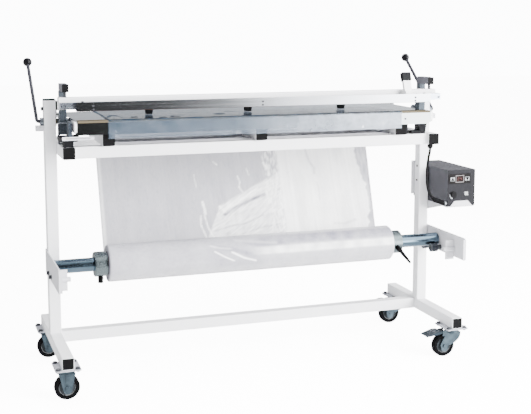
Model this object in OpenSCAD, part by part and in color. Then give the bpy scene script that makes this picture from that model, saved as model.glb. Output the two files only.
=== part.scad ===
// Wide impulse sealer on a wheeled tube frame, with a film roll below the table.
// X runs along the jaws, Y runs from the operator to the back, Z is up.
// Every piece is drawn from the front faces of the uprights (y = 0), the middle
// between them (x = 0) and the floor (z = 0), then moved by placed() so that the
// origin lies under the middle of the whole machine.

/* [Frame tubes] */
// Outer size of every square tube
tube = 40; // [38:1:42]
// Wall of the square tubes
tube_wall = 2; // [1.5:0.5:3]
// Distance between the centre lines of the two uprights
upright_spacing = 1428; // [1300:2:1600]
// Length of an upright above its foot
upright_length = 819; // [806:1:876]
// How far a foot reaches ahead of the uprights' front faces
foot_front = 287; // [254:1:314]
// How far a foot reaches behind the uprights' back faces
foot_rear = 226; // [204:1:254]
// How far the lower crossbeam lies behind the uprights' front faces
crossbeam_back = 20; // [0:1:40]
// Height of the top of the table arms above the floor
arm_top = 824; // [818:1:826]
// How far the table arms reach ahead of the uprights' front faces
arm_front = 148; // [145:1:160]
// How far back the table arms end, from the uprights' front faces
arm_rear = 218; // [215:1:240]

/* [Casters] */
// Diameter of a wheel
wheel_d = 84; // [80:1:86]
// Width of a tyre
wheel_w = 26; // [22:1:28]
// Height from the floor to the underside of a foot
caster_height = 112; // [111:1:118]
// How far a swivelling wheel trails its swivel axis
caster_trail = 35; // [30:1:38]
// Width of a caster's top plate, across the foot
plate_w = 85; // [80:1:90]
// Length of a caster's top plate, along the foot
plate_l = 105; // [100:1:110]

/* [Sealing jaws] */
// Length of the front bars of both jaws
jaw_length = 1298; // [1290:2:1300]
// Height of the lower jaw profile
lower_jaw_h = 42; // [40:1:44]
// Depth of the lower jaw profile
lower_jaw_d = 60; // [56:1:62]
// How far the upper jaw comes down
jaw_travel = 30; // [24:1:31]
// Height of the front bar of the upper jaw
upper_bar_h = 30; // [28:1:32]
// Thickness of the front bar of the upper jaw
upper_bar_t = 18; // [16:1:18]
// Width of the silicone pressure pad
pad_w = 10; // [8:1:11]

/* [Lift mechanism] */
// Diameter of the lever shaft
lever_shaft_d = 20; // [18:1:20]
// Distance from the lever shaft to a ball knob's centre
lever_length = 310; // [280:1:330]
// Angle of the open levers above the horizontal, leaning back
lever_angle = 38.7; // [30:0.1:50]
// Diameter of a lever rod
lever_rod_d = 12; // [8:0.5:13]
// Diameter of a ball knob
ball_d = 32; // [28:1:36]
// Side of the square lift columns
column_w = 24; // [22:1:24]
// Teeth on a lift pinion
pinion_teeth = 20; // [18:1:20]

/* [Film roll] */
// Outer diameter of the film roll
roll_d = 129; // [110:1:130]
// Length of the film roll
roll_w = 1068; // [1050:2:1070]
// Width of the film web
film_w = 1066; // [1040:2:1066]
// Diameter of the roll shaft
roll_shaft_d = 48.3; // [46:0.1:50]
// Length of the roll shaft
roll_shaft_l = 1460; // [1450:1:1462]
// Diameter of the collars that centre the roll
collar_d = 86; // [84:1:88]
// Height of the roll shaft's axis above the floor
roll_z = 409; // [400:1:416]
// Thickness that stands in for the film
film_t = 0.6; // [0.4:0.1:0.6]

/* [Control box] */
// Width of the control box
box_w = 114; // [110:1:120]
// Depth of the control box
box_d = 280; // [270:1:290]
// Height of the control box
box_h = 138; // [132:1:142]
// Side of the two square panel buttons
button_w = 17; // [15:1:18]

/* [Hidden] */
$fn = 48;
bush_r = 14;

// Frame
tray_d = 118;
half_span = upright_spacing / 2;
half_tube = tube / 2;
tube_corner = 3;
inner_face = half_span - half_tube;
outer_face = half_span + half_tube;
foot_top = caster_height + tube;
upright_top = foot_top + upright_length;
cap_t = 4;
cap_plug = 10;
arm_x = inner_face - half_tube;
arm_z = arm_top - half_tube;
cross_front = arm_front - 13;
cross_rear = 100;
bed_x = 540;
bed_front = arm_front - 6;
bed_rear = cross_rear + tube;
bed_top = arm_top + tube;

// Casters
wheel_r = wheel_d / 2;
caster_inset = 45;
caster_front_y = -(foot_front - caster_inset);
caster_rear_y = tube + foot_rear - caster_inset;
plate_t = 4;
plate_bolt_x = 32;
plate_bolt_y = 40;
plate_hole_r = 4.2;
fork_gap = wheel_w / 2 + 2.5;
fork_t = 2.5;
fork_crown = 88;
axle_r = 4;
hub_r = 4.05;
swivel_r = 11;
swivel_head = 20;
head_z = caster_height - plate_t - 3;
pedal_z = 95;
pedal_half = 26;
pedal_lip = 8;
fork_rib = 12;
rib_t = 2;
pedal_pin_x = -36;
pedal_pin_z = pedal_z - 5;
pedal_pin_r = 3;

// Jaws, from the table upward
table_top = 912;
jaw_front = 170;
jaw_foot_h = table_top - lower_jaw_h - bed_top;
band_t = 0.8;
band_w = 40;
film_z = table_top + band_t + 0.3;
film_top = film_z + film_t;
pad_bottom = film_top + 0.3 + jaw_travel;
upper_bottom = pad_bottom + 1;
bar_front = 165;
bar_back = bar_front - upper_bar_t;
rail_h = 22;
rail_z = upper_bottom + 6;
rail_back = 109;
rail_half = 699;
slot_y = 128;
slot_w = 4;
slot_half = 620;
beam_front = rail_back;
beam_back = beam_front - tube;
beam_half = 698;
beam_z = upper_bottom + 2;
beam_top = beam_z + tube;
screw_x = [-593, -3, 587];
cover_t = 8;
cover_gap = 2;
jaw_pin_x = 545;
jaw_pin_z = 885;

// Lift mechanism
shaft_y = half_tube;
shaft_z = 898;
shaft_half = 746;
rod_seat = 3;
shaft_clear = 0.05;
gear_module = 2;
pinion_r = gear_module * pinion_teeth / 2;
pressure_angle = 20;
gear_backlash = 0.35;
rack_w = 14;
column_x = 676;
column_back = 22;
column_front = column_back + column_w;
column_low = 857;
block_w = 22;
block_h = 26;
block_z = beam_top + 18;
block_front = 115;
block_back = 25;
bend_r = 10;
lever_x = shaft_half + bend_r;
brake_z = 950;
brake_h = 18;
brake_foot_z = 942;
brake_bolt_z = 942;
brake_tab_low = 928;
brake_y = 3;
brake_d = 25;
brake_feet_x = [-367, 0, 367];
tab_t = 4;

// Cutter
carriage_x = 572;
carriage_w = 31;
carriage_front = 146.7;
carriage_back = 109.3;
carriage_z = rail_z + rail_h + 0.3;
carriage_h = 12;
handle_lean = 20;
handle_t = 14;
handle_l = 68;
handle_cap = 31;

// Roll
roll_x = -10;
roll_y = -80;
roll_r = roll_d / 2;
core_r = 41;
core_bore = 38;
collar_in = roll_w / 2 + 1;
collar_w = 44;
collar_edge = 2;
spigot_l = 20;
collar_clear = 0.05;
roll_edge = 3;
side_t = 4;
side_front = 291;
side_back = tube;
side_low = roll_z - 42;
side_high = roll_z + 41;
stop_y = -213;
stop_in = 699;
stop_low = roll_z - 51;
stop_high = roll_z + 20;
lip_low = roll_z - 20;
lip_h = 15;
roller_r = 16;
roller_axle_r = 5;
roller_from = 690;
roller_to = 716;
roller_dy = 31;
roller_dz = 26;
clamp_stud_r = 4;
clamp_arm = 72;
clamp_hub_r = 9;
clamp_x = 557;
clamp_reach = collar_d / 2 + 2;
clamp_studs = [180, 108];
clamp_arms = [-75, -48];

// Film path, as a straight run from the roll to the guide rod behind the table
rod_r = 9.5;
rod_y = 197;
film_gap = 0.3;
rod_z = film_z - film_gap - rod_r;
run_dy = rod_y - roll_y;
run_dz = rod_z - roll_z;
run_l = sqrt(run_dy * run_dy + run_dz * run_dz);
lean_in = acos((roll_r - rod_r) / run_l);
film_angle = atan2(run_dz, run_dy) - lean_in;
flap_low = 850;
flap_y = -(jaw_front + band_t + film_gap);
arc_step = 7;

// Control box
box_x = outer_face + 4;
box_z = 545;
box_front = 148;
panel_t = 3;
case_wall = 2;
panel_front = box_front + panel_t;
button_z = 649;
button_h = 14;
up_x = box_x + 17;
down_x = box_x + 79;
button_gap = 0.4;
bezel_low = 631;
bezel_high = 668;
bezel_t = 1.5;
display_x = box_x + 48;
display_w = 36;
display_h = 28;
button_out = 2;
rocker_x = box_x + 78;
rocker_z = 592;
rocker_w = 14;
rocker_h = 17;
rocker_pin_r = 2;
rocker_ear = 3;
rocker_pin_y = -144;
socket_x = box_x + 21;
socket_z = 588;
shelf_t = 3;
box_bolt_z = [625, 681];
box_screw_y = [-57, 50];
shelf_lip_h = 20;
shelf_web_h = 32;
shelf_web_front = 104;
strap_low = box_z + 24;

// Lead from the gland under the right arm to the plug at the box, hand placed
lead_d = 9.5;
lead_sides = 10;
lead_points = [
    [673, -124, 772], [673, -124, 766], [672, -124, 753], [669, -122, 734], [667, -120, 714],
    [666, -117, 694], [666, -115, 674], [667, -114, 655], [668, -114, 635], [671, -115, 615],
    [675, -116.5, 600], [680.5, -118.5, 588], [687, -121, 579.5]
];
plug_start = [687.3, -121.12, 579.1];
plug_bend = [694.4, -123.8, 569.8];
plug_end = [732, -138, 556];
gland_z = 767;

// The whole machine reaches from the left ball to the box, and from the side
// plates' front ends to the balls
reach_left = lever_x + ball_d / 2;
reach_right = box_x + box_w;
reach_front = max(side_front + side_t, -caster_front_y + plate_l / 2);
reach_back = max(shaft_y + lever_length * cos(lever_angle) + ball_d / 2,
                 caster_rear_y + plate_l / 2);
middle_x = (reach_right - reach_left) / 2;
middle_y = (reach_back - reach_front) / 2;

module placed() translate([-middle_x, -middle_y, 0]) children();

// A solid drawn as a (y, z) outline and extruded along x
module along_x(from, to)
    translate([from, 0, 0]) rotate([90, 0, 90]) linear_extrude(to - from) children();

// A solid drawn as an (x, z) outline and extruded toward the back
module along_y(from, to)
    translate([0, to, 0]) rotate([90, 0, 0]) linear_extrude(to - from) children();

module block(low, high) translate(low) cube(high - low);

module rod_x(from, to, r) translate([from, 0, 0]) rotate([0, 90, 0]) cylinder(h = to - from, r = r);

module rod_y(from, to, r) translate([0, from, 0]) rotate([-90, 0, 0]) cylinder(h = to - from, r = r);

// A square with true round corners
module round_square(w, h, r) {
    square([w - 2 * r, h], center = true);
    square([w, h - 2 * r], center = true);
    for (sx = [-1, 1], sy = [-1, 1])
        translate([sx * (w / 2 - r), sy * (h / 2 - r)]) circle(r);
}

module tube_section() difference() {
    round_square(tube, tube, tube_corner);
    square(tube - 2 * tube_wall, center = true);
}

module tube_x(from, to, y, z) translate([0, y, z]) along_x(from, to) tube_section();

module tube_y(from, to, x, z) translate([x, 0, z]) along_y(from, to) tube_section();

// A plastic plug set flush in the end of a foot, its face toward -y
module foot_plug(x, y, z) translate([x, 0, z]) along_y(y - 1, y + cap_plug)
    square(tube - 2 * tube_wall, center = true);

// A plastic cap in the end of a tube that runs along y, its face toward -y
module tube_cap(x, y, z) translate([x, 0, z]) {
    along_y(y - cap_t, y) round_square(tube, tube, tube_corner);
    along_y(y, y + cap_plug)
        difference() {
            square(tube - 2 * tube_wall, center = true);
            square(tube - 4 * tube_wall, center = true);
        }
}

module bolt_head(r, h) {
    cylinder(h = h, r = r, $fn = 6);
    cylinder(h = h * 0.25, r = r * 1.15);
}

// Frame
module feet() color("whitesmoke") placed() for (side = [-1, 1])
    tube_y(-foot_front, tube + foot_rear, side * half_span, foot_top - half_tube);

module uprights() color("whitesmoke") placed() for (side = [-1, 1]) difference() {
    translate([side * half_span, half_tube, foot_top])
        linear_extrude(upright_length) tube_section();
    translate([0, shaft_y, shaft_z])
        rod_x(side * half_span - tube, side * half_span + tube, bush_r);
}

module lower_crossbeam() color("whitesmoke") placed()
    tube_x(-inner_face, inner_face, crossbeam_back + half_tube, foot_top - half_tube);

module table_arms() color("whitesmoke") placed()
    for (side = [-1, 1]) tube_y(-arm_front, arm_rear, side * arm_x, arm_z);

module table_cross_tubes() color("whitesmoke") placed()
    for (y = [-cross_front, cross_rear])
        tube_x(-arm_x + half_tube, arm_x - half_tube, y + half_tube, arm_z);

module bed_tubes() color("whitesmoke") placed()
    for (x = [-bed_x, 0, bed_x]) tube_y(-bed_front, bed_rear, x, bed_top - half_tube);

module tube_caps() color("black") placed() {
    for (side = [-1, 1]) {
        foot_plug(side * half_span, -foot_front, foot_top - half_tube);
        translate([0, tube + foot_rear, 0]) mirror([0, 1, 0])
            foot_plug(side * half_span, 0, foot_top - half_tube);
        tube_cap(side * arm_x, -arm_front, arm_z);
        translate([0, arm_rear, 0]) mirror([0, 1, 0]) tube_cap(side * arm_x, 0, arm_z);
        translate([side * half_span, half_tube, upright_top]) rotate([-90, 0, 0])
            tube_cap(0, 0, 0);
    }
    for (x = [-bed_x, 0, bed_x]) tube_cap(x, -bed_front, bed_top - half_tube);
}

// Casters
module caster_plate() translate([0, 0, caster_height - plate_t]) linear_extrude(plate_t)
    difference() {
        round_square(plate_w, plate_l, 6);
        for (sx = [-1, 1], sy = [-1, 1])
            translate([sx * plate_bolt_x, sy * plate_bolt_y]) circle(plate_hole_r);
    }

// One cheek of a fork that holds a wheel turning about y; its right edge is given as points
module fork_cheek(axle_x, top_half, edge) difference() {
    union() {
        polygon(concat(
            [[-top_half, fork_crown], [axle_x - 17, wheel_r + 4], [axle_x - 14, wheel_r - 8]],
            [[axle_x + 14, wheel_r - 8], [axle_x + 17, wheel_r + 1]],
            edge,
            [[top_half, fork_crown]]
        ));
        translate([axle_x, wheel_r - 8]) circle(14);
    }
    translate([axle_x, wheel_r]) circle(axle_r);
}

// The bent crown of a fork and its two cheeks
module fork(axle_x, top_half, edge) {
    for (side = [-1, 1])
        along_y(side < 0 ? -fork_gap - fork_t : fork_gap, side < 0 ? -fork_gap : fork_gap + fork_t)
            fork_cheek(axle_x, top_half, edge);
    block([-top_half, -fork_gap - fork_t, fork_crown],
          [top_half, fork_gap + fork_t, fork_crown + fork_t]);
}

// The axle bolt with a head and a nut outside the cheeks
module axle(axle_x) translate([axle_x, 0, wheel_r]) {
    rod_y(-fork_gap - fork_t, fork_gap + fork_t, axle_r);
    rod_y(-fork_gap - fork_t - 4, -fork_gap - fork_t, 6.5);
    rod_y(fork_gap + fork_t, fork_gap + fork_t + 5, 6.5);
}

module fixed_fork() {
    caster_plate();
    fork(0, 27, [[17, wheel_r + 4]]);
    axle(0);
    for (side = [-1, 1])
        block([-fork_rib / 2, side * (fork_gap + fork_t + rib_t / 2) - rib_t / 2, wheel_r + 12],
              [fork_rib / 2, side * (fork_gap + fork_t + rib_t / 2) + rib_t / 2, fork_crown]);
    for (side = [-1, 1])
        block([-24, side * (fork_gap - 4) - 4, fork_crown + fork_t],
              [24, side * (fork_gap - 4) + 4, caster_height - plate_t]);
}

// Fixed forks under the left foot, and the plates and pins of the swivel casters
module caster_mounts() color("lightsteelblue") placed()
    for (y = [caster_front_y, caster_rear_y]) {
        translate([-half_span, y, 0]) fixed_fork();
        translate([half_span, y, 0]) {
            caster_plate();
            translate([0, 0, head_z]) cylinder(h = caster_height - plate_t - head_z, r = swivel_head + 8);
            translate([0, 0, fork_crown - 4]) cylinder(h = head_z - fork_crown + 4, r = swivel_r);
            translate([0, 0, fork_crown - 8]) cylinder(h = 4, r = swivel_r + 4, $fn = 6);
        }
    }

// The fork that turns below a swivel plate, with its ball race ring and brake pivot ears
module swivel_fork(y) color("lightsteelblue") placed() translate([half_span, y, 0]) {
    difference() {
        union() {
            fork(-caster_trail, 30, [
                [-10, wheel_r + 2], [8, wheel_r + 10], [22, wheel_r + 22], [29, fork_crown - 12]
            ]);
            translate([0, 0, fork_crown]) cylinder(h = head_z - 0.3 - fork_crown, r = swivel_head + 6);
            for (side = [-1, 1])
                block([-44, side * (fork_gap + fork_t / 2) - fork_t / 2, pedal_z - 16],
                      [-24, side * (fork_gap + fork_t / 2) + fork_t / 2, pedal_z + 5]);
        }
        translate([0, 0, fork_crown - 1]) cylinder(h = head_z, r = swivel_r + shaft_clear);
        translate([pedal_pin_x, 0, pedal_pin_z]) rod_y(-tube, tube, pedal_pin_r);
    }
    axle(-caster_trail);
    translate([pedal_pin_x, 0, pedal_pin_z])
        rod_y(-fork_gap - fork_t - 1, fork_gap + fork_t + 1, pedal_pin_r);
}

module swivel_fork_front() swivel_fork(caster_front_y);

module swivel_fork_rear() swivel_fork(caster_rear_y);

// The total-stop pedal over the trailing side of a swivelling wheel: a broad tread with
// folded sides, and a narrow tongue back to its pin
module brake_pedal(y) color("slategray") placed() translate([half_span, y, 0])
    difference() {
        union() {
            along_y(-fork_gap + 1, fork_gap - 1) polygon([
                [-32, pedal_z - 1], [-44, pedal_z + 4], [-70, pedal_z + 4],
                [-70, pedal_z + 0.5], [-44, pedal_z - 0.5], [-32, pedal_z - 4.5]
            ]);
            along_y(-pedal_half, pedal_half) polygon([
                [-52, pedal_z + 4], [-70, pedal_z + 4], [-112, pedal_z - 9],
                [-112, pedal_z - 12], [-70, pedal_z + 1], [-52, pedal_z + 1]
            ]);
            for (side = [-1, 1])
                along_y(side * (pedal_half - 1) - 1, side * (pedal_half - 1) + 1) polygon([
                    [-52, pedal_z + 4], [-70, pedal_z + 4], [-108, pedal_z - 7.8],
                    [-108, pedal_z - 10.8], [-70, pedal_z + 1 - pedal_lip], [-52, pedal_z + 4 - pedal_lip]
                ]);
            translate([pedal_pin_x, 0, pedal_pin_z]) rod_y(-fork_gap + 1, fork_gap - 1, pedal_pin_r + 2);
        }
        translate([pedal_pin_x, 0, pedal_pin_z]) rod_y(-tube, tube, pedal_pin_r + shaft_clear);
    }

module brake_pedal_front() brake_pedal(caster_front_y);

module brake_pedal_rear() brake_pedal(caster_rear_y);

// A rim with a hub and a solid tyre on it, turning about y
module wheel(x, y) color("black") placed() translate([x, y, wheel_r]) rotate([90, 0, 0]) {
    rotate_extrude() polygon([
        [hub_r, -wheel_w / 2 + 0.5], [9, -wheel_w / 2 + 0.5], [12, -5], [wheel_r - 16, -5],
        [wheel_r - 14, -wheel_w / 2 + 2], [wheel_r - 12, -wheel_w / 2 + 2],
        [wheel_r - 12, wheel_w / 2 - 2], [wheel_r - 14, wheel_w / 2 - 2], [wheel_r - 16, 5],
        [12, 5], [9, wheel_w / 2 - 0.5], [hub_r, wheel_w / 2 - 0.5]
    ]);
    rotate_extrude() union() {
        translate([wheel_r - 12, -wheel_w / 2]) square([8, wheel_w]);
        translate([wheel_r - 6, -wheel_w / 2 + 4]) square([6, wheel_w - 8]);
        for (side = [-1, 1]) translate([wheel_r - 4, side * (wheel_w / 2 - 4)]) circle(4);
    }
}

module wheel_front_left() wheel(-half_span, caster_front_y);

module wheel_rear_left() wheel(-half_span, caster_rear_y);

module wheel_front_right() wheel(half_span - caster_trail, caster_front_y);

module wheel_rear_right() wheel(half_span - caster_trail, caster_rear_y);

// Hex bolts of the frame: caster plates, side plates, uprights, control box and its cover
module frame_bolts() color("gray") placed() {
    for (side = [-1, 1], y = [caster_front_y, caster_rear_y], sx = [-1, 1], sy = [-1, 1])
        translate([side * half_span + sx * plate_bolt_x, y + sy * plate_bolt_y, 0]) {
            translate([0, 0, caster_height]) bolt_head(7.5, 6);
            translate([0, 0, caster_height - plate_t]) cylinder(h = plate_t, r = 4);
            translate([0, 0, caster_height - plate_t - 5]) cylinder(h = 5, r = 6.5, $fn = 6);
        }
    for (side = [-1, 1]) {
        translate([side * outer_face, shaft_y, brake_bolt_z]) rotate([0, side * 90, 0])
            bolt_head(6.5, 8);
        translate([side * (inner_face - tab_t), shaft_y, brake_bolt_z]) rotate([0, -side * 90, 0])
            bolt_head(6.5, 8);
        for (dy = [-roller_dy, roller_dy]) translate([0, roll_y + dy, roll_z - roller_dz])
            mirror([side < 0 ? 1 : 0, 0, 0]) roller_axle();
    }
    translate([jaw_pin_x, -jaw_front - 1.5, jaw_pin_z]) rod_y(0, 1.5, 3.5);
    for (z = box_bolt_z) translate([inner_face, half_tube - 2, z]) rotate([0, -90, 0])
        cylinder(h = 2, r = 4);
    for (y = box_screw_y) translate([box_x + box_w / 2, y, box_z + box_h]) cylinder(h = 1.5, r = 4);
}

// A roller's shoulder bolt: retaining disc, axle, spacer against the plate and nut outside it
module roller_axle() {
    rod_x(roller_from - 2.2, roller_from - 0.2, roller_axle_r + 4);
    rod_x(roller_from - 0.2, outer_face + side_t, roller_axle_r);
    rod_x(roller_to + 0.3, outer_face, roller_axle_r + 4);
    translate([outer_face + side_t, 0, 0]) rotate([0, 90, 0]) bolt_head(7, 9);
}

// Lower jaw
module lower_jaw() color("silver") placed() along_x(-jaw_length / 2, jaw_length / 2)
    difference() {
        union() {
            translate([-jaw_front, table_top - lower_jaw_h]) square([lower_jaw_d, lower_jaw_h]);
            translate([-jaw_front + 12, bed_top]) square([lower_jaw_d - 24, jaw_foot_h]);
        }
        translate([-jaw_front + 4, table_top - lower_jaw_h + 4])
            square([lower_jaw_d / 2 - 6, lower_jaw_h - 12]);
        translate([-jaw_front + lower_jaw_d / 2 + 2, table_top - lower_jaw_h + 4])
            square([lower_jaw_d / 2 - 6, lower_jaw_h - 12]);
    }

// Glass-fabric band over the heating wire, folded over the front edge of the lower jaw
module sealing_band() color("tan") placed() along_x(-jaw_length / 2 + 3, jaw_length / 2 - 3) {
    translate([-jaw_front - band_t, table_top]) square([band_w, band_t]);
    translate([-jaw_front - band_t, table_top - 6]) square([band_t, 6.5]);
}

module jaw_end_covers() color("white") placed() for (side = [-1, 1])
    translate([side * (jaw_length + cover_t) / 2, 0, 0])
        along_x(-cover_t / 2, cover_t / 2) polygon([
            [-jaw_front, table_top - lower_jaw_h + 8], [-jaw_front + 5, table_top - lower_jaw_h + 3],
            [-jaw_front + lower_jaw_d, table_top - lower_jaw_h + 3],
            [-jaw_front + lower_jaw_d, table_top - cover_gap], [-jaw_front + 5, table_top - cover_gap],
            [-jaw_front, table_top - cover_gap - 5]
        ]);

// Dark feet under the lower jaw's ends: a plate on the left arm, a post and a wedge on the right
module jaw_supports() color("dimgray") placed() {
    front = -jaw_front + 24;
    back = -jaw_front + 56;
    plate_z = 843;
    plate_top = 857;
    hook_x = jaw_length / 2 + cover_t + 1;
    block([-hook_x - 32, front, arm_top], [-hook_x, back, plate_z]);
    block([-hook_x - 42, front - 4, plate_z], [-hook_x + 13, back + 54, plate_top]);
    block([-hook_x - 16, front - 4, plate_top], [-hook_x - 4, back, table_top - 7]);
    block([-hook_x - 2, front, plate_top], [-hook_x + 18, back, bed_top]);
    block([565, -cross_front + 4, arm_top], [575, -cross_front + tube - 4, bed_top]);
    along_y(-cross_front + 2, -cross_front + tube - 2) polygon([
        [591, arm_top], [646, arm_top], [646, arm_top + 8], [653, bed_top], [617, bed_top],
        [625, arm_top + 11], [591, arm_top + 11]
    ]);
}

// Polished plate behind the lower jaw, with folded legs on the bed tubes
module table_plate() color("lightsteelblue") placed() {
    block([-650, -jaw_front + lower_jaw_d, table_top - 1.5], [650, 186, table_top]);
    for (x = [-bed_x, 0, bed_x])
        block([x - 15, bed_rear - 22, bed_top], [x + 15, bed_rear - 19, table_top - 1]);
}

// Shallow tray with turned-up edges between the cross tubes, in the gaps between the bed tubes
module film_tray() color("silver") placed()
    for (from = [-bed_x + half_tube, half_tube])
        along_x(from, from + bed_x - tube) {
            translate([-cross_front + tube + 3, arm_top]) square([tray_d, 1.5]);
            for (y = [-cross_front + tube + 3, -cross_front + tube + 1 + tray_d])
                translate([y, arm_top]) square([2, 6]);
        }

// Cheeks and strap that guide a lift column, standing on a table arm
module column_guides() color("slategray") placed() for (side = [-1, 1])
    translate([side * column_x, 0, 0]) {
        foot_t = 2.5;
        cheek_t = 3.7;
        strap_h = 4;
        guide_top = 899;
        slide_gap = 0.3;
        block([-16, -column_front - 4, arm_top], [16, -column_back + 10, arm_top + foot_t]);
        for (x = [-column_w / 2 - slide_gap - cheek_t, column_w / 2 + slide_gap])
            block([x, -column_front, arm_top + foot_t], [x + cheek_t, -column_back + 4, guide_top]);
        block([-column_w / 2 - strap_h, -column_front - slide_gap - 4.7, guide_top - strap_h],
              [column_w / 2 + strap_h, -column_front - slide_gap, guide_top]);
    }

// Bar between the uprights with three rubber feet that hold the film on the table
module film_brake() color("dimgray") placed() {
    block([-inner_face + tab_t, brake_y, brake_z],
          [inner_face - tab_t, brake_y + brake_d, brake_z + brake_h]);
    for (side = [-1, 1]) translate([side * (inner_face - tab_t / 2), 0, 0])
        block([-tab_t / 2, 5, brake_tab_low], [tab_t / 2, 35, brake_z + brake_h + 2]);
    for (x = brake_feet_x) translate([x, 0, 0]) along_y(brake_y, brake_y + brake_d) polygon([
        [-15, brake_z], [-15, brake_foot_z], [-10, film_top + 0.8], [10, film_top + 0.8],
        [15, brake_foot_z], [15, brake_z]
    ]);
}

// Polished rod behind the table that turns the film forward, with its two brackets
module film_guide_rod() color("silver") placed() {
    translate([0, rod_y, rod_z]) rod_x(-arm_x, arm_x, rod_r);
    for (side = [-1, 1]) along_x(side * arm_x - 3, side * arm_x + 3) polygon([
        [rod_y - 18, arm_top], [rod_y + 18, arm_top], [rod_y + 8, rod_z + 4], [rod_y - 8, rod_z + 4]
    ]);
}

// Flanged bushes of the lever shaft, through both walls of the uprights
module shaft_bushes() color("gold") placed() for (side = [-1, 1])
    mirror([side < 0 ? 1 : 0, 0, 0]) translate([0, shaft_y, shaft_z]) difference() {
        union() {
            rod_x(inner_face - 3, outer_face, bush_r - 0.01);
            rod_x(inner_face - 3, inner_face, bush_r + 3);
        }
        rod_x(inner_face - 5, outer_face + 5, lever_shaft_d / 2 + shaft_clear);
    }

// White lever stops outside the uprights, and the slotted strip at the jaw's left end
module white_brackets() color("white") placed() {
    stop_reach = 27;
    stop_z = 866;
    stop_h = 18;
    for (side = [-1, 1]) mirror([side < 0 ? 1 : 0, 0, 0]) {
        block([outer_face, 5, stop_z], [outer_face + stop_reach, 35, stop_z + stop_h]);
        translate([outer_face + stop_reach / 2, 2.5, stop_z + 6]) rod_y(0, 2.5, 5);
    }
    strip_from = -696;
    strip_l = 100;
    strip_z = 848;
    strip_h = 12;
    translate([0, -jaw_front + 20, 0]) along_y(-3, 0) difference() {
        union() {
            translate([strip_from, strip_z]) square([strip_l, strip_h]);
            translate([strip_from + strip_l, strip_z + strip_h / 2]) circle(strip_h / 2);
        }
        translate([strip_from + 12, strip_z + strip_h / 2 - 1]) square([80, 2]);
    }
}

// Roll holder: plates outside the uprights, with a stop and its lip ahead of the shaft
module side_plate() {
    along_x(outer_face, outer_face + side_t) difference() {
        polygon([
            [-side_front, side_low + 4], [-side_front + 4, side_low], [side_back, side_low],
            [side_back, side_high], [-side_front + 4, side_high], [-side_front, side_high - 4]
        ]);
        for (dy = [-roller_dy, roller_dy])
            translate([roll_y + dy, roll_z - roller_dz]) circle(roller_axle_r);
    }
    block([outer_face - 7, -side_front - side_t, side_low + 4],
          [outer_face + side_t, -side_front, side_high - 4]);
    block([stop_in, stop_y, stop_low], [outer_face, stop_y + side_t, stop_high]);
    along_x(stop_in - 10, outer_face) translate([stop_y - 3, lip_low]) {
        square([side_t + 3, lip_h]);
        translate([0, lip_h / 2]) circle(lip_h / 2);
    }
}

module roll_side_plates() color("gainsboro") placed()
    for (side = [-1, 1]) mirror([side < 0 ? 1 : 0, 0, 0]) side_plate();

// Rollers under the ends of the roll shaft, one pair ahead of it and one behind
module rollers(dy) color("darkslategray") placed() for (side = [-1, 1])
    mirror([side < 0 ? 1 : 0, 0, 0]) translate([0, roll_y + dy, roll_z - roller_dz]) difference() {
        rod_x(roller_from, roller_to, roller_r);
        rod_x(roller_from - 1, roller_to + 1, roller_axle_r + shaft_clear);
    }

module front_rollers() rollers(-roller_dy);

module rear_rollers() rollers(roller_dy);

module roll_shaft() color("silver") placed() translate([0, roll_y, roll_z])
    difference() {
        rod_x(-roll_shaft_l / 2, roll_shaft_l / 2, roll_shaft_d / 2);
        rod_x(-roll_shaft_l / 2 - 1, roll_shaft_l / 2 + 1, roll_shaft_d / 2 - 3);
    }

// Collars with a spigot in the core and a tapped hole for the clamping lever
module roll_collars() color("darkslategray") placed() for (i = [0, 1])
    difference() {
        translate([roll_x, roll_y, roll_z]) mirror([i == 0 ? 1 : 0, 0, 0]) rotate([0, 90, 0])
            rotate_extrude() translate([roll_shaft_d / 2 + collar_clear, 0]) {
                ring = (collar_d - roll_shaft_d) / 2 - collar_clear;
                translate([0, collar_in]) square([ring - collar_edge, collar_w]);
                translate([0, collar_in + collar_edge])
                    square([ring, collar_w - 2 * collar_edge]);
                translate([0, collar_in - spigot_l])
                    square([core_bore - 0.2 - roll_shaft_d / 2 - collar_clear, spigot_l + 1]);
            }
        clamp_frame(i) cylinder(h = clamp_reach, r = clamp_stud_r + 0.1);
    }

// Where each clamping lever stands on its collar: the left one straight down, the right one
// forward and down
module clamp_frame(i) translate([roll_x + (i == 0 ? -clamp_x : clamp_x), roll_y, roll_z])
    rotate([clamp_studs[i], 0, 0]) children();

module clamp_lever(i) color("black") placed() clamp_frame(i) {
    translate([0, 0, collar_d / 2 - 12]) cylinder(h = 16, r = clamp_stud_r);
    translate([0, 0, collar_d / 2 + 1.5]) cylinder(h = 22, r = clamp_hub_r);
    rotate([0, 0, clamp_arms[i]]) translate([0, 0, collar_d / 2 + 16]) rotate([0, 82, 0]) {
        cylinder(h = clamp_arm, r1 = 7.5, r2 = 4.5);
        translate([0, 0, clamp_arm]) sphere(4.5);
    }
}

module clamp_lever_left() clamp_lever(0);

module clamp_lever_right() clamp_lever(1);

// A paper core and the film wound on it
module film_roll() color("gainsboro") placed() translate([roll_x, roll_y, roll_z])
    rotate([0, 90, 0]) {
        rotate_extrude() translate([core_bore, -roll_w / 2]) square([core_r - core_bore - 0.05, roll_w]);
        rotate_extrude($fn = 96) union() {
            translate([core_r, -roll_w / 2]) square([roll_r - roll_edge - core_r, roll_w]);
            translate([core_r, -roll_w / 2 + roll_edge])
                square([roll_r - core_r, roll_w - 2 * roll_edge]);
            for (side = [-1, 1])
                translate([roll_r - roll_edge, side * (roll_w / 2 - roll_edge)]) circle(roll_edge);
        }
    }

// A point beside the film path: angle round a centre, in the (y, z) plane
function beside(cy, cz, r, angle) = [cy + r * cos(angle), cz + r * sin(angle)];

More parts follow.
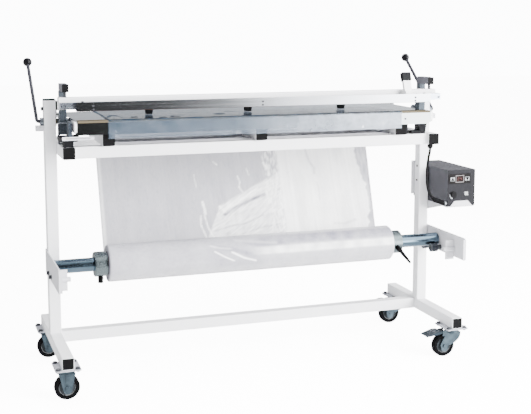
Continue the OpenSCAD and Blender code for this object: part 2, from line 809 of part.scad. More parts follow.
// Film from the back of the roll up to the guide rod and over it
film_in = film_gap;
film_out = film_gap + film_t;
film_arc = [for (a = [film_angle : arc_step : 90]) a];
module film_web() color("gainsboro") placed() translate([roll_x, 0, 0])
    along_x(-film_w / 2, film_w / 2) polygon(concat(
        [beside(roll_y, roll_z, roll_r + film_in, film_angle)],
        [for (a = film_arc) beside(rod_y, rod_z, rod_r + film_in, a)],
        [[rod_y, rod_z + rod_r + film_in], [rod_y, rod_z + rod_r + film_out]],
        [for (i = [len(film_arc) - 1 : -1 : 0]) beside(rod_y, rod_z, rod_r + film_out, film_arc[i])],
        [beside(roll_y, roll_z, roll_r + film_out, film_angle)]
    ));

// Film from the guide rod over the table and the lower jaw, with its end hanging in front
module film_front() color("lightblue") placed() along_x(roll_x - film_w / 2, roll_x + film_w / 2) polygon([
    [rod_y - 0.05, film_z], [rod_y - 0.05, film_top], [flap_y - film_t, film_top],
    [flap_y - film_t, flap_low], [flap_y, flap_low], [flap_y, film_z]
]);

// Control box
module control_case() color("dimgray") placed() difference() {
    block([box_x, -box_front, box_z], [box_x + box_w, box_d - box_front, box_z + box_h]);
    block([box_x + case_wall, -box_front - 1, box_z + case_wall],
          [box_x + box_w - case_wall, box_d - box_front - case_wall, box_z + box_h - case_wall]);
}

module button_hole(x, z, w, h) block([x - w / 2, -panel_front - 9, z - h / 2],
                                     [x + w / 2, -box_front + 1, z + h / 2]);

// Front panel with a raised bezel round the buttons and the display, and ears for the rocker
module control_panel() color("dimgray") placed() difference() {
    union() {
        for (side = [-1, 1]) translate([rocker_x + side * (rocker_w + rocker_ear + 2) / 2, 0, 0])
            block([-rocker_ear / 2, -box_front, rocker_z - 5],
                  [rocker_ear / 2, rocker_pin_y + 4, rocker_z + 5]);
        block([box_x, -panel_front, box_z], [box_x + box_w, -box_front, box_z + box_h]);
        block([box_x + 2, -panel_front - bezel_t, bezel_low], [box_x + 93, -panel_front, bezel_high]);
    }
    for (x = [up_x, down_x])
        button_hole(x, button_z, button_w + 2 * button_gap, button_h + 2 * button_gap);
    button_hole(rocker_x, rocker_z, rocker_w + 2 * button_gap, rocker_h + 2 * button_gap);
    button_hole(display_x, button_z, display_w, display_h);
    translate([socket_x, 0, socket_z]) rod_y(-panel_front - 5, 0, 11);
    translate([0, rocker_pin_y, rocker_z])
        rod_x(rocker_x - rocker_w, rocker_x + rocker_w, rocker_pin_r + shaft_clear);
}

// Two-digit display with a raised frame
module display() color("firebrick") placed() {
    block([display_x - display_w / 2, -panel_front, button_z - display_h / 2],
          [display_x + display_w / 2, -box_front, button_z + display_h / 2]);
    along_y(-panel_front - 2, -panel_front) difference() {
        translate([display_x, button_z]) square([display_w, display_h], center = true);
        translate([display_x, button_z]) square([display_w - 6, display_h - 6], center = true);
    }
}

module panel_button(x) color("white") placed() {
    block([x - button_w / 2, -panel_front - bezel_t - button_out, button_z - button_h / 2],
          [x + button_w / 2, -box_front + 4, button_z + button_h / 2]);
    block([x - button_w / 2 - 2, -box_front + 1, button_z - button_h / 2 - 2],
          [x + button_w / 2 + 2, -box_front + 4, button_z + button_h / 2 + 2]);
}

module up_button() panel_button(up_x);

module down_button() panel_button(down_x);

// A rocker whose two faces meet at the middle, turning about its pin
module rocker_switch() color("white") placed() {
    along_x(rocker_x - rocker_w / 2, rocker_x + rocker_w / 2) polygon([
        [-panel_front - 0.5, rocker_z], [-panel_front - 3, rocker_z - rocker_h / 2 + 2],
        [-box_front + 3, rocker_z - rocker_h / 2 + 4], [rocker_pin_y + 3, rocker_z - 2],
        [rocker_pin_y + 3, rocker_z + 2], [-box_front + 3, rocker_z + rocker_h / 2 - 4],
        [-panel_front + 0.5, rocker_z + rocker_h / 2 - 2]
    ]);
    translate([0, rocker_pin_y, rocker_z])
        rod_x(rocker_x - rocker_w / 2 - 1 - rocker_ear, rocker_x + rocker_w / 2 + 1 + rocker_ear,
              rocker_pin_r);
}

// Transformer and circuit board inside the control box
module box_electronics() color("darkgreen") placed() {
    block([box_x + 15, 10, box_z + case_wall], [box_x + 99, 100, box_z + 88]);
    block([box_x + 15, -120, box_z + 24], [box_x + 99, -10, box_z + 26]);
    for (x = [box_x + 20, box_x + 90], y = [-114, -18])
        translate([x, y, box_z + case_wall]) cylinder(h = 22, r = 3);
}

// White shelf under the box with a cut lip in front, and the plate behind the upright
module box_bracket() color("white") placed() {
    block([outer_face, -panel_front - shelf_t, box_z - shelf_t], [box_x + box_w - 6, tube, box_z]);
    along_y(-panel_front - shelf_t, -panel_front) polygon([
        [box_x + 9, box_z - 1], [box_x + 103, box_z - 1], [box_x + 83, box_z + shelf_lip_h],
        [box_x + 27, box_z + shelf_lip_h]
    ]);
    along_x(outer_face, outer_face + 3) polygon([
        [-shelf_web_front, box_z - 5], [-shelf_web_front, box_z - 1], [tube, box_z - 1],
        [tube, box_z - shelf_web_h], [0, box_z - shelf_web_h]
    ]);
    block([outer_face, tube, box_z - shelf_web_h], [outer_face + 3, tube + 3, box_z + box_h - 10]);
    block([inner_face - 13, tube, strap_low], [outer_face + 3, tube + 3, box_z + box_h + 16]);
}

// A cylinder between two points
module between(a, b, r) {
    d = b - a;
    translate(a) rotate([0, acos(d[2] / norm(d)), atan2(d[1], d[0])]) cylinder(h = norm(d), r = r);
}

// Gland under the right arm, plug of the lead, panel socket and mains inlet
module box_fittings() color("black") placed() {
    boot = (plug_bend - plug_start) / norm(plug_bend - plug_start);
    along = (plug_end - plug_bend) / norm(plug_end - plug_bend);
    translate([lead_points[0][0], lead_points[0][1], gland_z]) difference() {
        union() {
            cylinder(h = arm_top - tube - gland_z, r = 8);
            translate([0, 0, 5]) cylinder(h = 8, r = 12, $fn = 6);
        }
        translate([0, 0, -1]) cylinder(h = 8, r = lead_d / 2 + 0.1);
    }
    between(plug_start, plug_bend + 4 * boot, 6.5);
    between(plug_bend, plug_end - 6 * along, 9);
    between(plug_end - 6 * along, plug_end, 8);
    translate([0, plug_end[1], plug_end[2]]) rod_x(plug_end[0] - 3, box_x, 9);
    translate([socket_x, 0, socket_z]) {
        rod_y(-panel_front - 8, -box_front + 10, 10.5);
        rod_y(-panel_front - 2, -panel_front, 15);
    }
    translate([box_x + 57, box_d - box_front, 590]) difference() {
        block([-24, 0, -14], [24, 4, 14]);
        block([-13.5, 1.5, -9], [13.5, 5, 9]);
    }
}

// The lead: rings of points swept along the hand-placed route
lead_last = len(lead_points) - 1;
function lead_dir(i) = let(
    a = lead_points[max(i - 1, 0)], b = lead_points[min(i + 1, lead_last)]
) (b - a) / norm(b - a);
function lead_side(i) = let(n = cross(lead_dir(i), [0, 1, 0])) n / norm(n);
function lead_ring(i) = let(u = lead_side(i), v = cross(lead_dir(i), u)) [
    for (k = [0 : lead_sides - 1])
        lead_points[i] + lead_d / 2 * (cos(360 * k / lead_sides) * u + sin(360 * k / lead_sides) * v)
];
module sensor_lead() color("black") placed() polyhedron(
    points = [for (i = [0 : lead_last]) each lead_ring(i)],
    faces = concat(
        [[for (k = [0 : lead_sides - 1]) k]],
        [for (i = [0 : lead_last - 1], k = [0 : lead_sides - 1])
            [i * lead_sides + (k + 1) % lead_sides, i * lead_sides + k,
             (i + 1) * lead_sides + k, (i + 1) * lead_sides + (k + 1) % lead_sides]],
        [[for (k = [lead_sides - 1 : -1 : 0]) lead_last * lead_sides + k]]
    )
);

// Upper jaw
module upper_beam() color("whitesmoke") placed() {
    tube_x(-beam_half, beam_half, -beam_front + half_tube, beam_z + half_tube);
    for (side = [-1, 1])
        translate([side * (beam_half - 1), -beam_front + half_tube, beam_z + half_tube])
            cube([2, tube - 2 * tube_wall, tube - 2 * tube_wall], center = true);
}

// Aluminium rail behind the front bar, with a slot for the blade and a slot in each end
module jaw_rail() color("lightsteelblue") placed() difference() {
    block([-rail_half, -bar_back, rail_z], [rail_half, -rail_back, rail_z + rail_h]);
    block([-slot_half, -slot_y - slot_w / 2, rail_z - 1],
          [slot_half, -slot_y + slot_w / 2, rail_z + rail_h + 1]);
    for (side = [-1, 1]) block([side * 688 - 8, -bar_back - 1, rail_z + 6],
                               [side * 688 + 8, -bar_back + 8, rail_z + 12]);
}

module upper_jaw() color("darkgray") placed() along_x(-jaw_length / 2, jaw_length / 2)
    difference() {
        translate([-bar_front, upper_bottom]) square([upper_bar_t, upper_bar_h]);
        translate([-bar_front + 2.5, upper_bottom - 1]) square([pad_w, 4]);
    }

module pressure_pad() color("brown") placed()
    block([-jaw_length / 2 + 3, -bar_front + 2.5, pad_bottom],
          [jaw_length / 2 - 3, -bar_front + 2.5 + pad_w, upper_bottom + 3]);

// Bars over the beam ends, on a stud at the front and the lift column at the back
module block_bars() color("dimgray") placed() for (side = [-1, 1])
    translate([side * column_x, 0, 0]) {
        block([-block_w / 2, -block_front + 2, block_z], [block_w / 2, -block_back, block_z + block_h]);
        block([-block_w / 2 + 0.5, -block_front, block_z + 0.5],
              [block_w / 2 - 0.5, -block_front + 2, block_z + block_h - 0.5]);
        translate([0, -beam_front + 10, beam_top]) cylinder(h = block_z - beam_top, r = 5);
    }

// One tooth gap to the next of a rack whose pitch line is y = 0 and whose teeth point to +y
rack_pitch = PI * gear_module;
function rack_tooth(z) = let(
    half = rack_pitch / 4 - gear_backlash / 2, slope = tan(pressure_angle)
) [
    [-1.25 * gear_module, z - half - 1.25 * gear_module * slope],
    [gear_module, z - half + gear_module * slope],
    [gear_module, z + half - gear_module * slope],
    [-1.25 * gear_module, z + half + 1.25 * gear_module * slope]
];

// Columns that carry the upper jaw, with a rack on the back of each
module lift_columns() color("steelblue") placed() for (side = [-1, 1])
    translate([side * column_x, 0, 0]) {
        block([-column_w / 2, -column_front, column_low], [column_w / 2, -column_back, block_z]);
        block([-column_w / 2, -beam_back, beam_z + 3], [column_w / 2, -column_front, beam_top - 2]);
        along_x(-rack_w / 2, rack_w / 2) {
            translate([-column_back - 0.5, shaft_z - 13])
                square([column_back + 0.5 - 1.25 * gear_module, 13 + 43]);
            for (i = [-1 : 6]) polygon(rack_tooth(shaft_z + i * rack_pitch));
        }
    }

// An involute gear outline with a tooth gap facing -y at rest
function involute(base, t) = [
    base * (cos(t) + t * PI / 180 * sin(t)), base * (sin(t) - t * PI / 180 * cos(t))
];
function turn(p, a) = [p[0] * cos(a) - p[1] * sin(a), p[0] * sin(a) + p[1] * cos(a)];
gear_base = pinion_r * cos(pressure_angle);
gear_tip = pinion_r + gear_module;
gear_root = pinion_r - 1.25 * gear_module;
tip_roll = sqrt(gear_tip * gear_tip / (gear_base * gear_base) - 1) * 180 / PI;
pitch_roll = tan(pressure_angle) * 180 / PI;
pitch_polar = pitch_roll - pressure_angle;
tooth_half = 90 / pinion_teeth - gear_backlash / 2 / pinion_r * 180 / PI;
gear_steps = 5;
function gear_flank(mirrored) = [
    for (i = [0 : gear_steps])
        let(p = turn(involute(gear_base, tip_roll * i / gear_steps), -pitch_polar - tooth_half))
            mirrored ? [p[0], -p[1]] : p
];
function gear_tooth(a) = concat(
    [turn([gear_root * cos(tooth_half + pitch_polar), -gear_root * sin(tooth_half + pitch_polar)], a)],
    [for (p = gear_flank(false)) turn(p, a)],
    [for (i = [gear_steps : -1 : 0]) turn(gear_flank(true)[i], a)],
    [turn([gear_root * cos(tooth_half + pitch_polar), gear_root * sin(tooth_half + pitch_polar)], a)]
);

module pinion_outline() polygon([
    for (i = [0 : pinion_teeth - 1]) each gear_tooth(180 + (i + 0.5) * 360 / pinion_teeth)
]);

// Shaft through both uprights, with the two lift pinions and the lever hubs on it
module lever_shaft() color("gray") placed() translate([0, shaft_y, shaft_z]) {
    rod_x(-shaft_half + rod_seat, shaft_half - rod_seat, lever_shaft_d / 2);
    for (side = [-1, 1]) {
        along_x(side * column_x - rack_w / 2, side * column_x + rack_w / 2) pinion_outline();
        mirror([side < 0 ? 1 : 0, 0, 0]) difference() {
            rod_x(outer_face + 1, shaft_half, 13);
            rod_x(shaft_half - rod_seat, shaft_half + 1, lever_rod_d / 2 + 0.01);
        }
    }
}

// Round levers bent out of the shaft's ends and leaning back
module lever_rods() color("slategray") placed() translate([0, shaft_y, shaft_z])
    rotate([lever_angle, 0, 0]) for (side = [-1, 1]) mirror([side < 0 ? 1 : 0, 0, 0]) {
        rod_x(shaft_half - rod_seat, shaft_half + 0.01, lever_rod_d / 2);
        translate([lever_x - bend_r, bend_r, 0]) rotate([0, 0, -90])
            rotate_extrude(angle = 90) translate([bend_r, 0]) circle(lever_rod_d / 2);
        translate([lever_x, 0, 0]) rod_y(bend_r - 0.01, lever_length - ball_d / 2 + 4, lever_rod_d / 2);
    }

module ball_knobs() color("black") placed() translate([0, shaft_y, shaft_z])
    rotate([lever_angle, 0, 0]) for (side = [-1, 1]) translate([side * lever_x, 0, 0])
        difference() {
            union() {
                translate([0, lever_length, 0]) sphere(ball_d / 2);
                rod_y(lever_length - ball_d / 2 - 1, lever_length, lever_rod_d / 2 + 2);
            }
            rod_y(0, lever_length - ball_d / 2 + 4, lever_rod_d / 2);
        }

// Screw pairs of the front bar, and the nuts that hold the beam's brackets
module jaw_screws() color("gray") placed() {
    for (x = screw_x, z = [upper_bottom + 5, upper_bottom + 17])
        translate([x, -bar_front - 1.2, z]) rotate([-90, 0, 0]) cylinder(h = 1.2, r = 3.5);
    for (side = [-1, 1]) translate([side * 627, -bar_front + 9, upper_bottom + upper_bar_h])
        cylinder(h = 3, r = 4);
    for (side = [-1, 1]) translate([side * column_x, -beam_front + 10, block_z + block_h])
        bolt_head(6.5, 1.5);
}

// Cutter: a slide between the bar and the beam, its leaning post and the blade below it
module cutter_frame() translate([carriage_x, -carriage_front + 16, carriage_z + carriage_h])
    rotate([-handle_lean, 0, 0]) children();

module cutter_carriage() color("white") placed() {
    block([carriage_x - carriage_w / 2, -carriage_front, carriage_z],
          [carriage_x + carriage_w / 2, -carriage_back, carriage_z + carriage_h]);
    block([carriage_x - 10, -slot_y - 1, upper_bottom + 1], [carriage_x + 10, -slot_y + 1, carriage_z + 1]);
    cutter_frame() block([1 - carriage_w / 2, -handle_t / 2, -5],
                         [carriage_w / 2 - 1, handle_t / 2, handle_l - handle_cap]);
}

module cutter_cap() color("black") placed() cutter_frame()
    block([-carriage_w / 2 - 1, -handle_t / 2 - 3, handle_l - handle_cap],
          [carriage_w / 2 + 1, handle_t / 2 + 3, handle_l]);

feet();
uprights();
lower_crossbeam();
table_arms();
table_cross_tubes();
bed_tubes();
tube_caps();
caster_mounts();
frame_bolts();
lower_jaw();
sealing_band();
jaw_end_covers();
jaw_supports();
white_brackets();
table_plate();
film_tray();
column_guides();
film_brake();
film_guide_rod();
shaft_bushes();
roll_side_plates();
front_rollers();
rear_rollers();
control_case();
control_panel();
display();
box_bracket();
box_electronics();
box_fittings();
sensor_lead();
film_web();
film_front();
up_button();
down_button();
rocker_switch();
upper_beam();
jaw_rail();
upper_jaw();
pressure_pad();
block_bars();
lift_columns();
jaw_screws();
cutter_carriage();
cutter_cap();
lever_shaft();
lever_rods();
ball_knobs();
roll_shaft();
roll_collars();
film_roll();
clamp_lever_left();
clamp_lever_right();
swivel_fork_front();
swivel_fork_rear();
wheel_front_left();
wheel_rear_left();
wheel_front_right();
wheel_rear_right();
brake_pedal_front();
brake_pedal_rear();
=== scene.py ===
import math

import bmesh
import bpy
from mathutils import Euler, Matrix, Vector, noise


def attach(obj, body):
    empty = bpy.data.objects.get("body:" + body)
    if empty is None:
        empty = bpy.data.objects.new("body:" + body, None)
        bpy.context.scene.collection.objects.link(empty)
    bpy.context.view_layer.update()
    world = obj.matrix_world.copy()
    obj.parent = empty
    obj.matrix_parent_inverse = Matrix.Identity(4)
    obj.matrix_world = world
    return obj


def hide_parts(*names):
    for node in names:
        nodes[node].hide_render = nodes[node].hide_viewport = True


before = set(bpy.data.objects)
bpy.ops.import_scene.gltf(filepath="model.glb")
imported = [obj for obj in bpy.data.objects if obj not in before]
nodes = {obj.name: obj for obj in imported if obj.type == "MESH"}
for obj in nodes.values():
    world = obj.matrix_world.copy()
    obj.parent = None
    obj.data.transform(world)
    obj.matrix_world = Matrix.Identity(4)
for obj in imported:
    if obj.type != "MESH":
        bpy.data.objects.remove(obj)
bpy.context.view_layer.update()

# Places are in machine millimetres, with x to the right, y away from the operator and z up. The
# machine's own zero, between the uprights at their front faces, is in the shared frame's metres.
MM = 1000
ZERO = Vector((-0.040, 0.0085333, 0.0))


def at(x, y, z):
    """A point in machine millimetres, in the shared frame."""
    return Vector((x, y, z)) / MM + ZERO


def new_object(name, data):
    obj = bpy.data.objects.new(name, data)
    bpy.context.scene.collection.objects.link(obj)
    return obj


# Camera, fitted to the straight edges in the photo
CAMERA_PLACE = (-1173.7, -3598.9, 1240.4)
CAMERA_DIP = 7.699
CAMERA_TURN = -18.969
CAMERA_SHIFT = -0.085
FOCAL_PIXELS = 1044.8
PHOTO_WIDTH = 531
SENSOR_WIDTH = 36
NEAR_CLIP = 0.05
FAR_CLIP = 200

camera_data = bpy.data.cameras.new("camera")
camera = new_object("camera", camera_data)
bpy.context.scene.camera = camera
camera.location = at(*CAMERA_PLACE)
camera.rotation_euler = Euler((math.radians(90 - CAMERA_DIP), 0, math.radians(CAMERA_TURN)))
camera_data.sensor_width = SENSOR_WIDTH
camera_data.lens = FOCAL_PIXELS / PHOTO_WIDTH * SENSOR_WIDTH
camera_data.shift_y = CAMERA_SHIFT
camera_data.clip_start = NEAR_CLIP
camera_data.clip_end = FAR_CLIP

# Materials. Noise lies mostly between these two values.
NOISE_LOW = 0.3
NOISE_HIGH = 0.7


class Nodes:
    """A small helper round a node tree."""

    def __init__(self, tree):
        self.tree = tree

    def add(self, kind, **settings):
        node = self.tree.nodes.new(kind)
        for key, value in settings.items():
            setattr(node, key, value)
        return node

    def feed(self, socket, value):
        """Gives a socket a number, a colour or the output of another node."""
        if isinstance(value, bpy.types.NodeSocket):
            self.tree.links.new(value, socket)
        elif socket.type == "RGBA":
            socket.default_value = (*value[:3], 1)
        else:
            socket.default_value = value

    def feed_all(self, node, values):
        for name, value in values.items():
            self.feed(node.inputs[name], value)

    def math(self, operation, *values, **settings):
        node = self.add("ShaderNodeMath", operation=operation, **settings)
        for socket, value in zip(node.inputs, values):
            self.feed(socket, value)
        return node.outputs[0]

    def remap(self, value, low, high, from_low=NOISE_LOW, from_high=NOISE_HIGH, **settings):
        node = self.add("ShaderNodeMapRange", **settings)
        self.feed_all(node, {"Value": value, "From Min": from_low, "From Max": from_high,
                             "To Min": low, "To Max": high})
        return node.outputs["Result"]

    def ramp(self, value, stops):
        """A number that follows (value, number) stops, smooth between them."""
        result = None
        for (start, low), (end, high) in zip(stops, stops[1:]):
            if result is None:
                result = self.remap(value, low, high, start, end, interpolation_type="SMOOTHSTEP")
            else:
                rise = self.remap(value, 0.0, high - low, start, end,
                                  interpolation_type="SMOOTHSTEP")
                result = self.math("ADD", result, rise)
        return result

    def mix(self, factor, a, b, kind="RGBA"):
        node = self.add("ShaderNodeMix", data_type=kind)
        self.feed_all(node, {"Factor": factor, "A": a, "B": b})
        return node.outputs["Result"]


class Finish(Nodes):
    """The node tree of a material, with its Principled shader."""

    def __init__(self, name):
        self.material = bpy.data.materials.new(name)
        self.material.use_nodes = True
        super().__init__(self.material.node_tree)
        self.coord = self.add("ShaderNodeTexCoord").outputs["Object"]

    def noise(self, scale, detail=3.0, rough=0.5, stretch=(1, 1, 1)):
        mapping = self.add("ShaderNodeMapping")
        self.feed_all(mapping, {"Vector": self.coord, "Scale": [scale * s for s in stretch]})
        node = self.add("ShaderNodeTexNoise")
        self.feed_all(node, {"Vector": mapping.outputs["Vector"], "Scale": 1.0, "Detail": detail,
                             "Roughness": rough})
        return node.outputs["Fac"]

    def bump(self, height, strength, distance, normal=None):
        node = self.add("ShaderNodeBump")
        self.feed_all(node, {"Height": height, "Strength": strength, "Distance": distance})
        if normal is not None:
            self.feed(node.inputs["Normal"], normal)
        return node.outputs["Normal"]

    def shade(self, **values):
        """Feeds the shader's sockets, whose names are written with _ for a space."""
        named = {key.replace("_", " "): value for key, value in values.items()}
        self.feed_all(self.tree.nodes["Principled BSDF"], named)


SMOOTHEST = 0.02
WEAR_FINER = 7


def surface(name, color, rough=0.4, metal=0.0, mottle=0.04, patch=9.0, span=0.06, grain=900.0,
            stretch=(1, 1, 1), strength=0.25, depth=0.0001, spec=0.5):
    """A finished surface: mottled colour, uneven roughness and a fine grain in its normals."""
    look = Finish(name)
    cloud = look.noise(patch, detail=4)
    dark = [c * (1 - mottle) for c in color]
    light = [min(1, c * (1 + mottle)) for c in color]
    fine = look.noise(grain, detail=2, stretch=stretch)
    worn = look.noise(patch * WEAR_FINER, detail=3, stretch=stretch)
    look.shade(Base_Color=look.mix(look.remap(cloud, 0, 1), dark, light),
               Roughness=look.remap(worn, max(SMOOTHEST, rough - span), min(1, rough + span)),
               Normal=look.bump(fine, strength, depth),
               Metallic=metal, Specular_IOR_Level=spec)
    return look.material


# What several surfaces share
JAW_BRUSHED = dict(mottle=0.03, span=0.04, grain=260, stretch=(0.05, 6, 6), strength=0.06,
                   depth=0.00005)
CASE_GRAIN = dict(grain=1100, strength=0.6, depth=0.0002)

# Frame and casters
white = surface("white_paint", (0.80, 0.80, 0.82), 0.4, mottle=0.015, grain=420, strength=0.12,
                spec=0.25)
# A greyer copy of the white paint for the brackets, the roll side plates and the box bracket:
# painted shade
white_painted_shade = surface("white_bracket_painted_shade", (0.55, 0.55, 0.58), 0.45, mottle=0.03, grain=420,
                     strength=0.15, spec=0.25)
cap_black = surface("cap_black", (0.004, 0.004, 0.0042), 0.55, mottle=0.2, grain=1500,
                    strength=0.4, spec=0.06)
zinc = surface("zinc", (0.045, 0.064, 0.078), 0.36, 0.5, mottle=0.3, patch=40, span=0.1,
               grain=1200, spec=0.2)
zinc_plate = surface("zinc_plate", (0.36, 0.37, 0.41), 0.4, 0.1, mottle=0.1, patch=30, spec=0.3)
bolt = surface("bolt_zinc", (0.05, 0.053, 0.06), 0.4, 0.4, mottle=0.25, patch=60, span=0.1,
               spec=0.3)
pedal_zinc = surface("pedal_zinc", (0.014, 0.022, 0.030), 0.4, 0.3, mottle=0.25, patch=40,
                     spec=0.2)
tyre = surface("tyre_black", (0.002, 0.002, 0.0023), 0.65, mottle=0.2, patch=50, grain=1500,
               strength=0.5, spec=0.05)
rim = surface("rim_grey", (0.035, 0.042, 0.048), 0.4, 0.2, mottle=0.15, patch=40, spec=0.2)
rim_ring = surface("rim_ring", (0.16, 0.17, 0.18), 0.4, mottle=0.05, patch=40, spec=0.2)

# Jaws, table and cutter
polished = surface("jaw_polished", (0.42, 0.43, 0.45), 0.11, 1.0, **JAW_BRUSHED)
lower_polished = surface("lower_jaw_polished", (0.27, 0.285, 0.285), 0.11, 1.0, **JAW_BRUSHED)
rail_blue = surface("rail_anodised", (0.48, 0.52, 0.60), 0.24, 1.0, mottle=0.05, grain=300,
                    stretch=(0.05, 6, 6), strength=0.1)
steel_sheet = surface("table_sheet", (0.28, 0.34, 0.42), 0.18, 1.0, span=0.04, grain=300,
                      stretch=(0.1, 4, 4), strength=0.05, depth=0.00005)
tray_grey = surface("tray_grey", (0.42, 0.42, 0.45), 0.4, 0.1, mottle=0.05, spec=0.2)
pure_white = surface("white_cap", (0.84, 0.84, 0.84), 0.4, mottle=0.02, spec=0.25)
dark_paint = surface("dark_paint", (0.006, 0.006, 0.007), 0.5, mottle=0.2, spec=0.08)
slate_paint = surface("slate_paint", (0.045, 0.055, 0.07), 0.45, 0.2, mottle=0.1, patch=30,
                      spec=0.1)
band_tan = surface("glass_band", (0.085, 0.07, 0.047), 0.6, mottle=0.2, grain=2200, strength=0.5,
                   spec=0.1)
pad_brown = surface("silicone", (0.05, 0.02, 0.014), 0.55, mottle=0.1, spec=0.1)
# A lighter grey for the sides of the dark block bars: painted light
block_side_painted_light = surface("block_side_painted_light", (0.12, 0.12, 0.14), 0.45, 0.1, mottle=0.08, patch=30, spec=0.1)
block_face = surface("block_face", (0.0042, 0.0042, 0.00468), 0.45, mottle=0.15, patch=50,
                     spec=0.08)
grip_black = surface("grip_black", (0.005, 0.005, 0.0056), 0.45, mottle=0.2, patch=40, spec=0.08)
grip_grey = surface("grip_grey", (0.007, 0.0074, 0.008), 0.4, 0.1, mottle=0.1, patch=60, spec=0.1)

# Lift
blued = surface("blued_steel", (0.060, 0.072, 0.086), 0.4, 0.2, mottle=0.2, patch=20, grain=500,
                stretch=(4, 4, 0.3), strength=0.15, spec=0.1)
guide_grey = surface("guide_grey", (0.035, 0.042, 0.052), 0.45, 0.2, mottle=0.15, patch=20,
                     spec=0.15)
# Painted highlight for the light line along the guides' top front
strap_painted_highlight = surface("strap_painted_highlight", (0.22, 0.24, 0.27), 0.35, 0.3, mottle=0.08)
bronze = surface("bush_bronze", (0.10, 0.07, 0.03), 0.4, 0.5, mottle=0.15, patch=60)
rod_grey = surface("rod_grey", (0.035, 0.036, 0.043), 0.36, 0.2, mottle=0.15, patch=30, spec=0.15)
knob_black = surface("knob_black", (0.004, 0.004, 0.005), 0.2, mottle=0.1, spec=0.2)
shaft_steel = surface("shaft_steel", (0.20, 0.22, 0.25), 0.3, 0.8, mottle=0.08, grain=300,
                      stretch=(0.2, 5, 5), strength=0.12)

# Roll stand
rubber = surface("rubber_dark", (0.006, 0.0065, 0.0072), 0.62, mottle=0.2, grain=1400,
                 strength=0.4, spec=0.05)
chrome = surface("chrome_rod", (0.66, 0.68, 0.70), 0.12, 1.0, mottle=0.03, grain=300,
                 stretch=(0.2, 5, 5), strength=0.05)
roller_dark = surface("roller_dark", (0.03, 0.034, 0.042), 0.3, 0.6, mottle=0.2, patch=30,
                      spec=0.3)
roller_face = surface("roller_face", (0.10, 0.11, 0.125), 0.4, 0.2, mottle=0.15, patch=60,
                      spec=0.2)
pipe = surface("roll_pipe", (0.115, 0.165, 0.21), 0.2, 1.0, mottle=0.1, patch=14, span=0.05,
               grain=240, stretch=(0.3, 5, 5), strength=0.05)
collar = surface("collar_zinc", (0.17, 0.205, 0.215), 0.3, 1.0, mottle=0.08, patch=30,
                 strength=0.06)
lever_black = surface("clamp_black", (0.003, 0.003, 0.0034), 0.4, mottle=0.2, spec=0.06)
core_card = surface("core_card", (0.10, 0.075, 0.05), 0.8, mottle=0.15, patch=40, grain=700,
                    strength=0.5, spec=0.1)

# Control box
# Painted shade for the box bracket's strap inside the upright
strap_painted_shade = surface("strap_painted_shade", (0.10, 0.10, 0.115), 0.45, mottle=0.08, spec=0.1)
case_grey = surface("case_grey", (0.050, 0.050, 0.056), 0.6, mottle=0.1, spec=0.05, **CASE_GRAIN)
# A lighter copy of the case grey for its left faces: painted light where the lamps leave them dim
case_side_painted_light = surface("case_side_painted_light", (0.075, 0.075, 0.085), 0.6, mottle=0.08, spec=0.04,
                    **CASE_GRAIN)
panel_grey = surface("panel_grey", (0.015, 0.015, 0.017), 0.5, mottle=0.08, grain=1500,
                     strength=0.3, spec=0.05)
window_black = surface("window_black", (0.004, 0.0035, 0.0035), 0.3, mottle=0.2, spec=0.06)
window_brown = surface("display_window", (0.008, 0.004, 0.0035), 0.3, mottle=0.2, patch=90,
                       spec=0.05)
frame_pale = surface("display_frame", (0.13, 0.12, 0.122), 0.4, mottle=0.1, patch=90, spec=0.1)
board = surface("board_green", (0.02, 0.10, 0.04), 0.4, mottle=0.3, patch=60)
fitting_black = surface("fitting_black", (0.0045, 0.0045, 0.005), 0.45, mottle=0.2, patch=60,
                        spec=0.07)
# Bare metal, also used as a painted highlight on the panel socket's rim
silver_and_highlight = surface("ring_silver_and_highlight", (0.25, 0.26, 0.28), 0.25, 0.7, mottle=0.06, patch=60)
cable = surface("cable_sheath", (0.0045, 0.0045, 0.005), 0.5, mottle=0.2, spec=0.07)
button_white = surface("button_white", (0.30, 0.31, 0.32), 0.35, mottle=0.03, patch=60, spec=0.2)

# Film: how it bends light, how far its streaks change the haze, and how deep they are in metres
FILM_IOR = 1.45
AIR_IOR = 1.0
FILM_SPECULAR = 0.25
HAZE_SPREAD = 0.12
HAZE_GRAIN = 0.012
GRAIN_FINER = 9
STREAK_DEPTH = 0.004
GRAIN_DEPTH = 0.0006
GRAIN_WEAKER = 0.35
CREASE_COVER = 0.9
CREASE_DULL = -0.5


def film_material(name, dark, light, alpha, rough, vein=16.0, strength=0.5, streak=0.3):
    """Thin plastic film: its milkiness, together with painted highlights, glints and shade, is a
    value stored on the vertices, with fine streaks added. Below zero the value stands for the
    painted shade of a crease, down to -1, and such a crease mirrors nothing."""
    look = Finish(name)
    haze_and_light = look.add("ShaderNodeAttribute", attribute_name="haze_and_light").outputs["Fac"]
    crease = look.noise(vein, detail=6, rough=0.62, stretch=(1.0, 1.0, streak))
    fine = look.noise(vein * GRAIN_FINER, detail=4, stretch=(1.0, 1.0, streak))
    milk_and_light = look.math("MULTIPLY_ADD", haze_and_light, look.remap(crease, 1 - HAZE_SPREAD, 1 + HAZE_SPREAD),
                     look.remap(fine, -HAZE_GRAIN, HAZE_GRAIN), use_clamp=True)
    cover = look.math("MAXIMUM", look.remap(milk_and_light, alpha[0], alpha[1], 0, 1),
                      look.remap(haze_and_light, 0.0, CREASE_COVER, 0.0, -1.0))
    broad = look.bump(crease, strength, STREAK_DEPTH)
    look.shade(Base_Color=look.mix(milk_and_light, dark, light), Alpha=cover,
               Roughness=look.remap(fine, rough - 0.05, rough + 0.08),
               Normal=look.bump(fine, strength * GRAIN_WEAKER, GRAIN_DEPTH, broad),
               IOR=look.remap(haze_and_light, FILM_IOR, AIR_IOR, 0.0, CREASE_DULL),
               Specular_IOR_Level=FILM_SPECULAR)
    return look.material


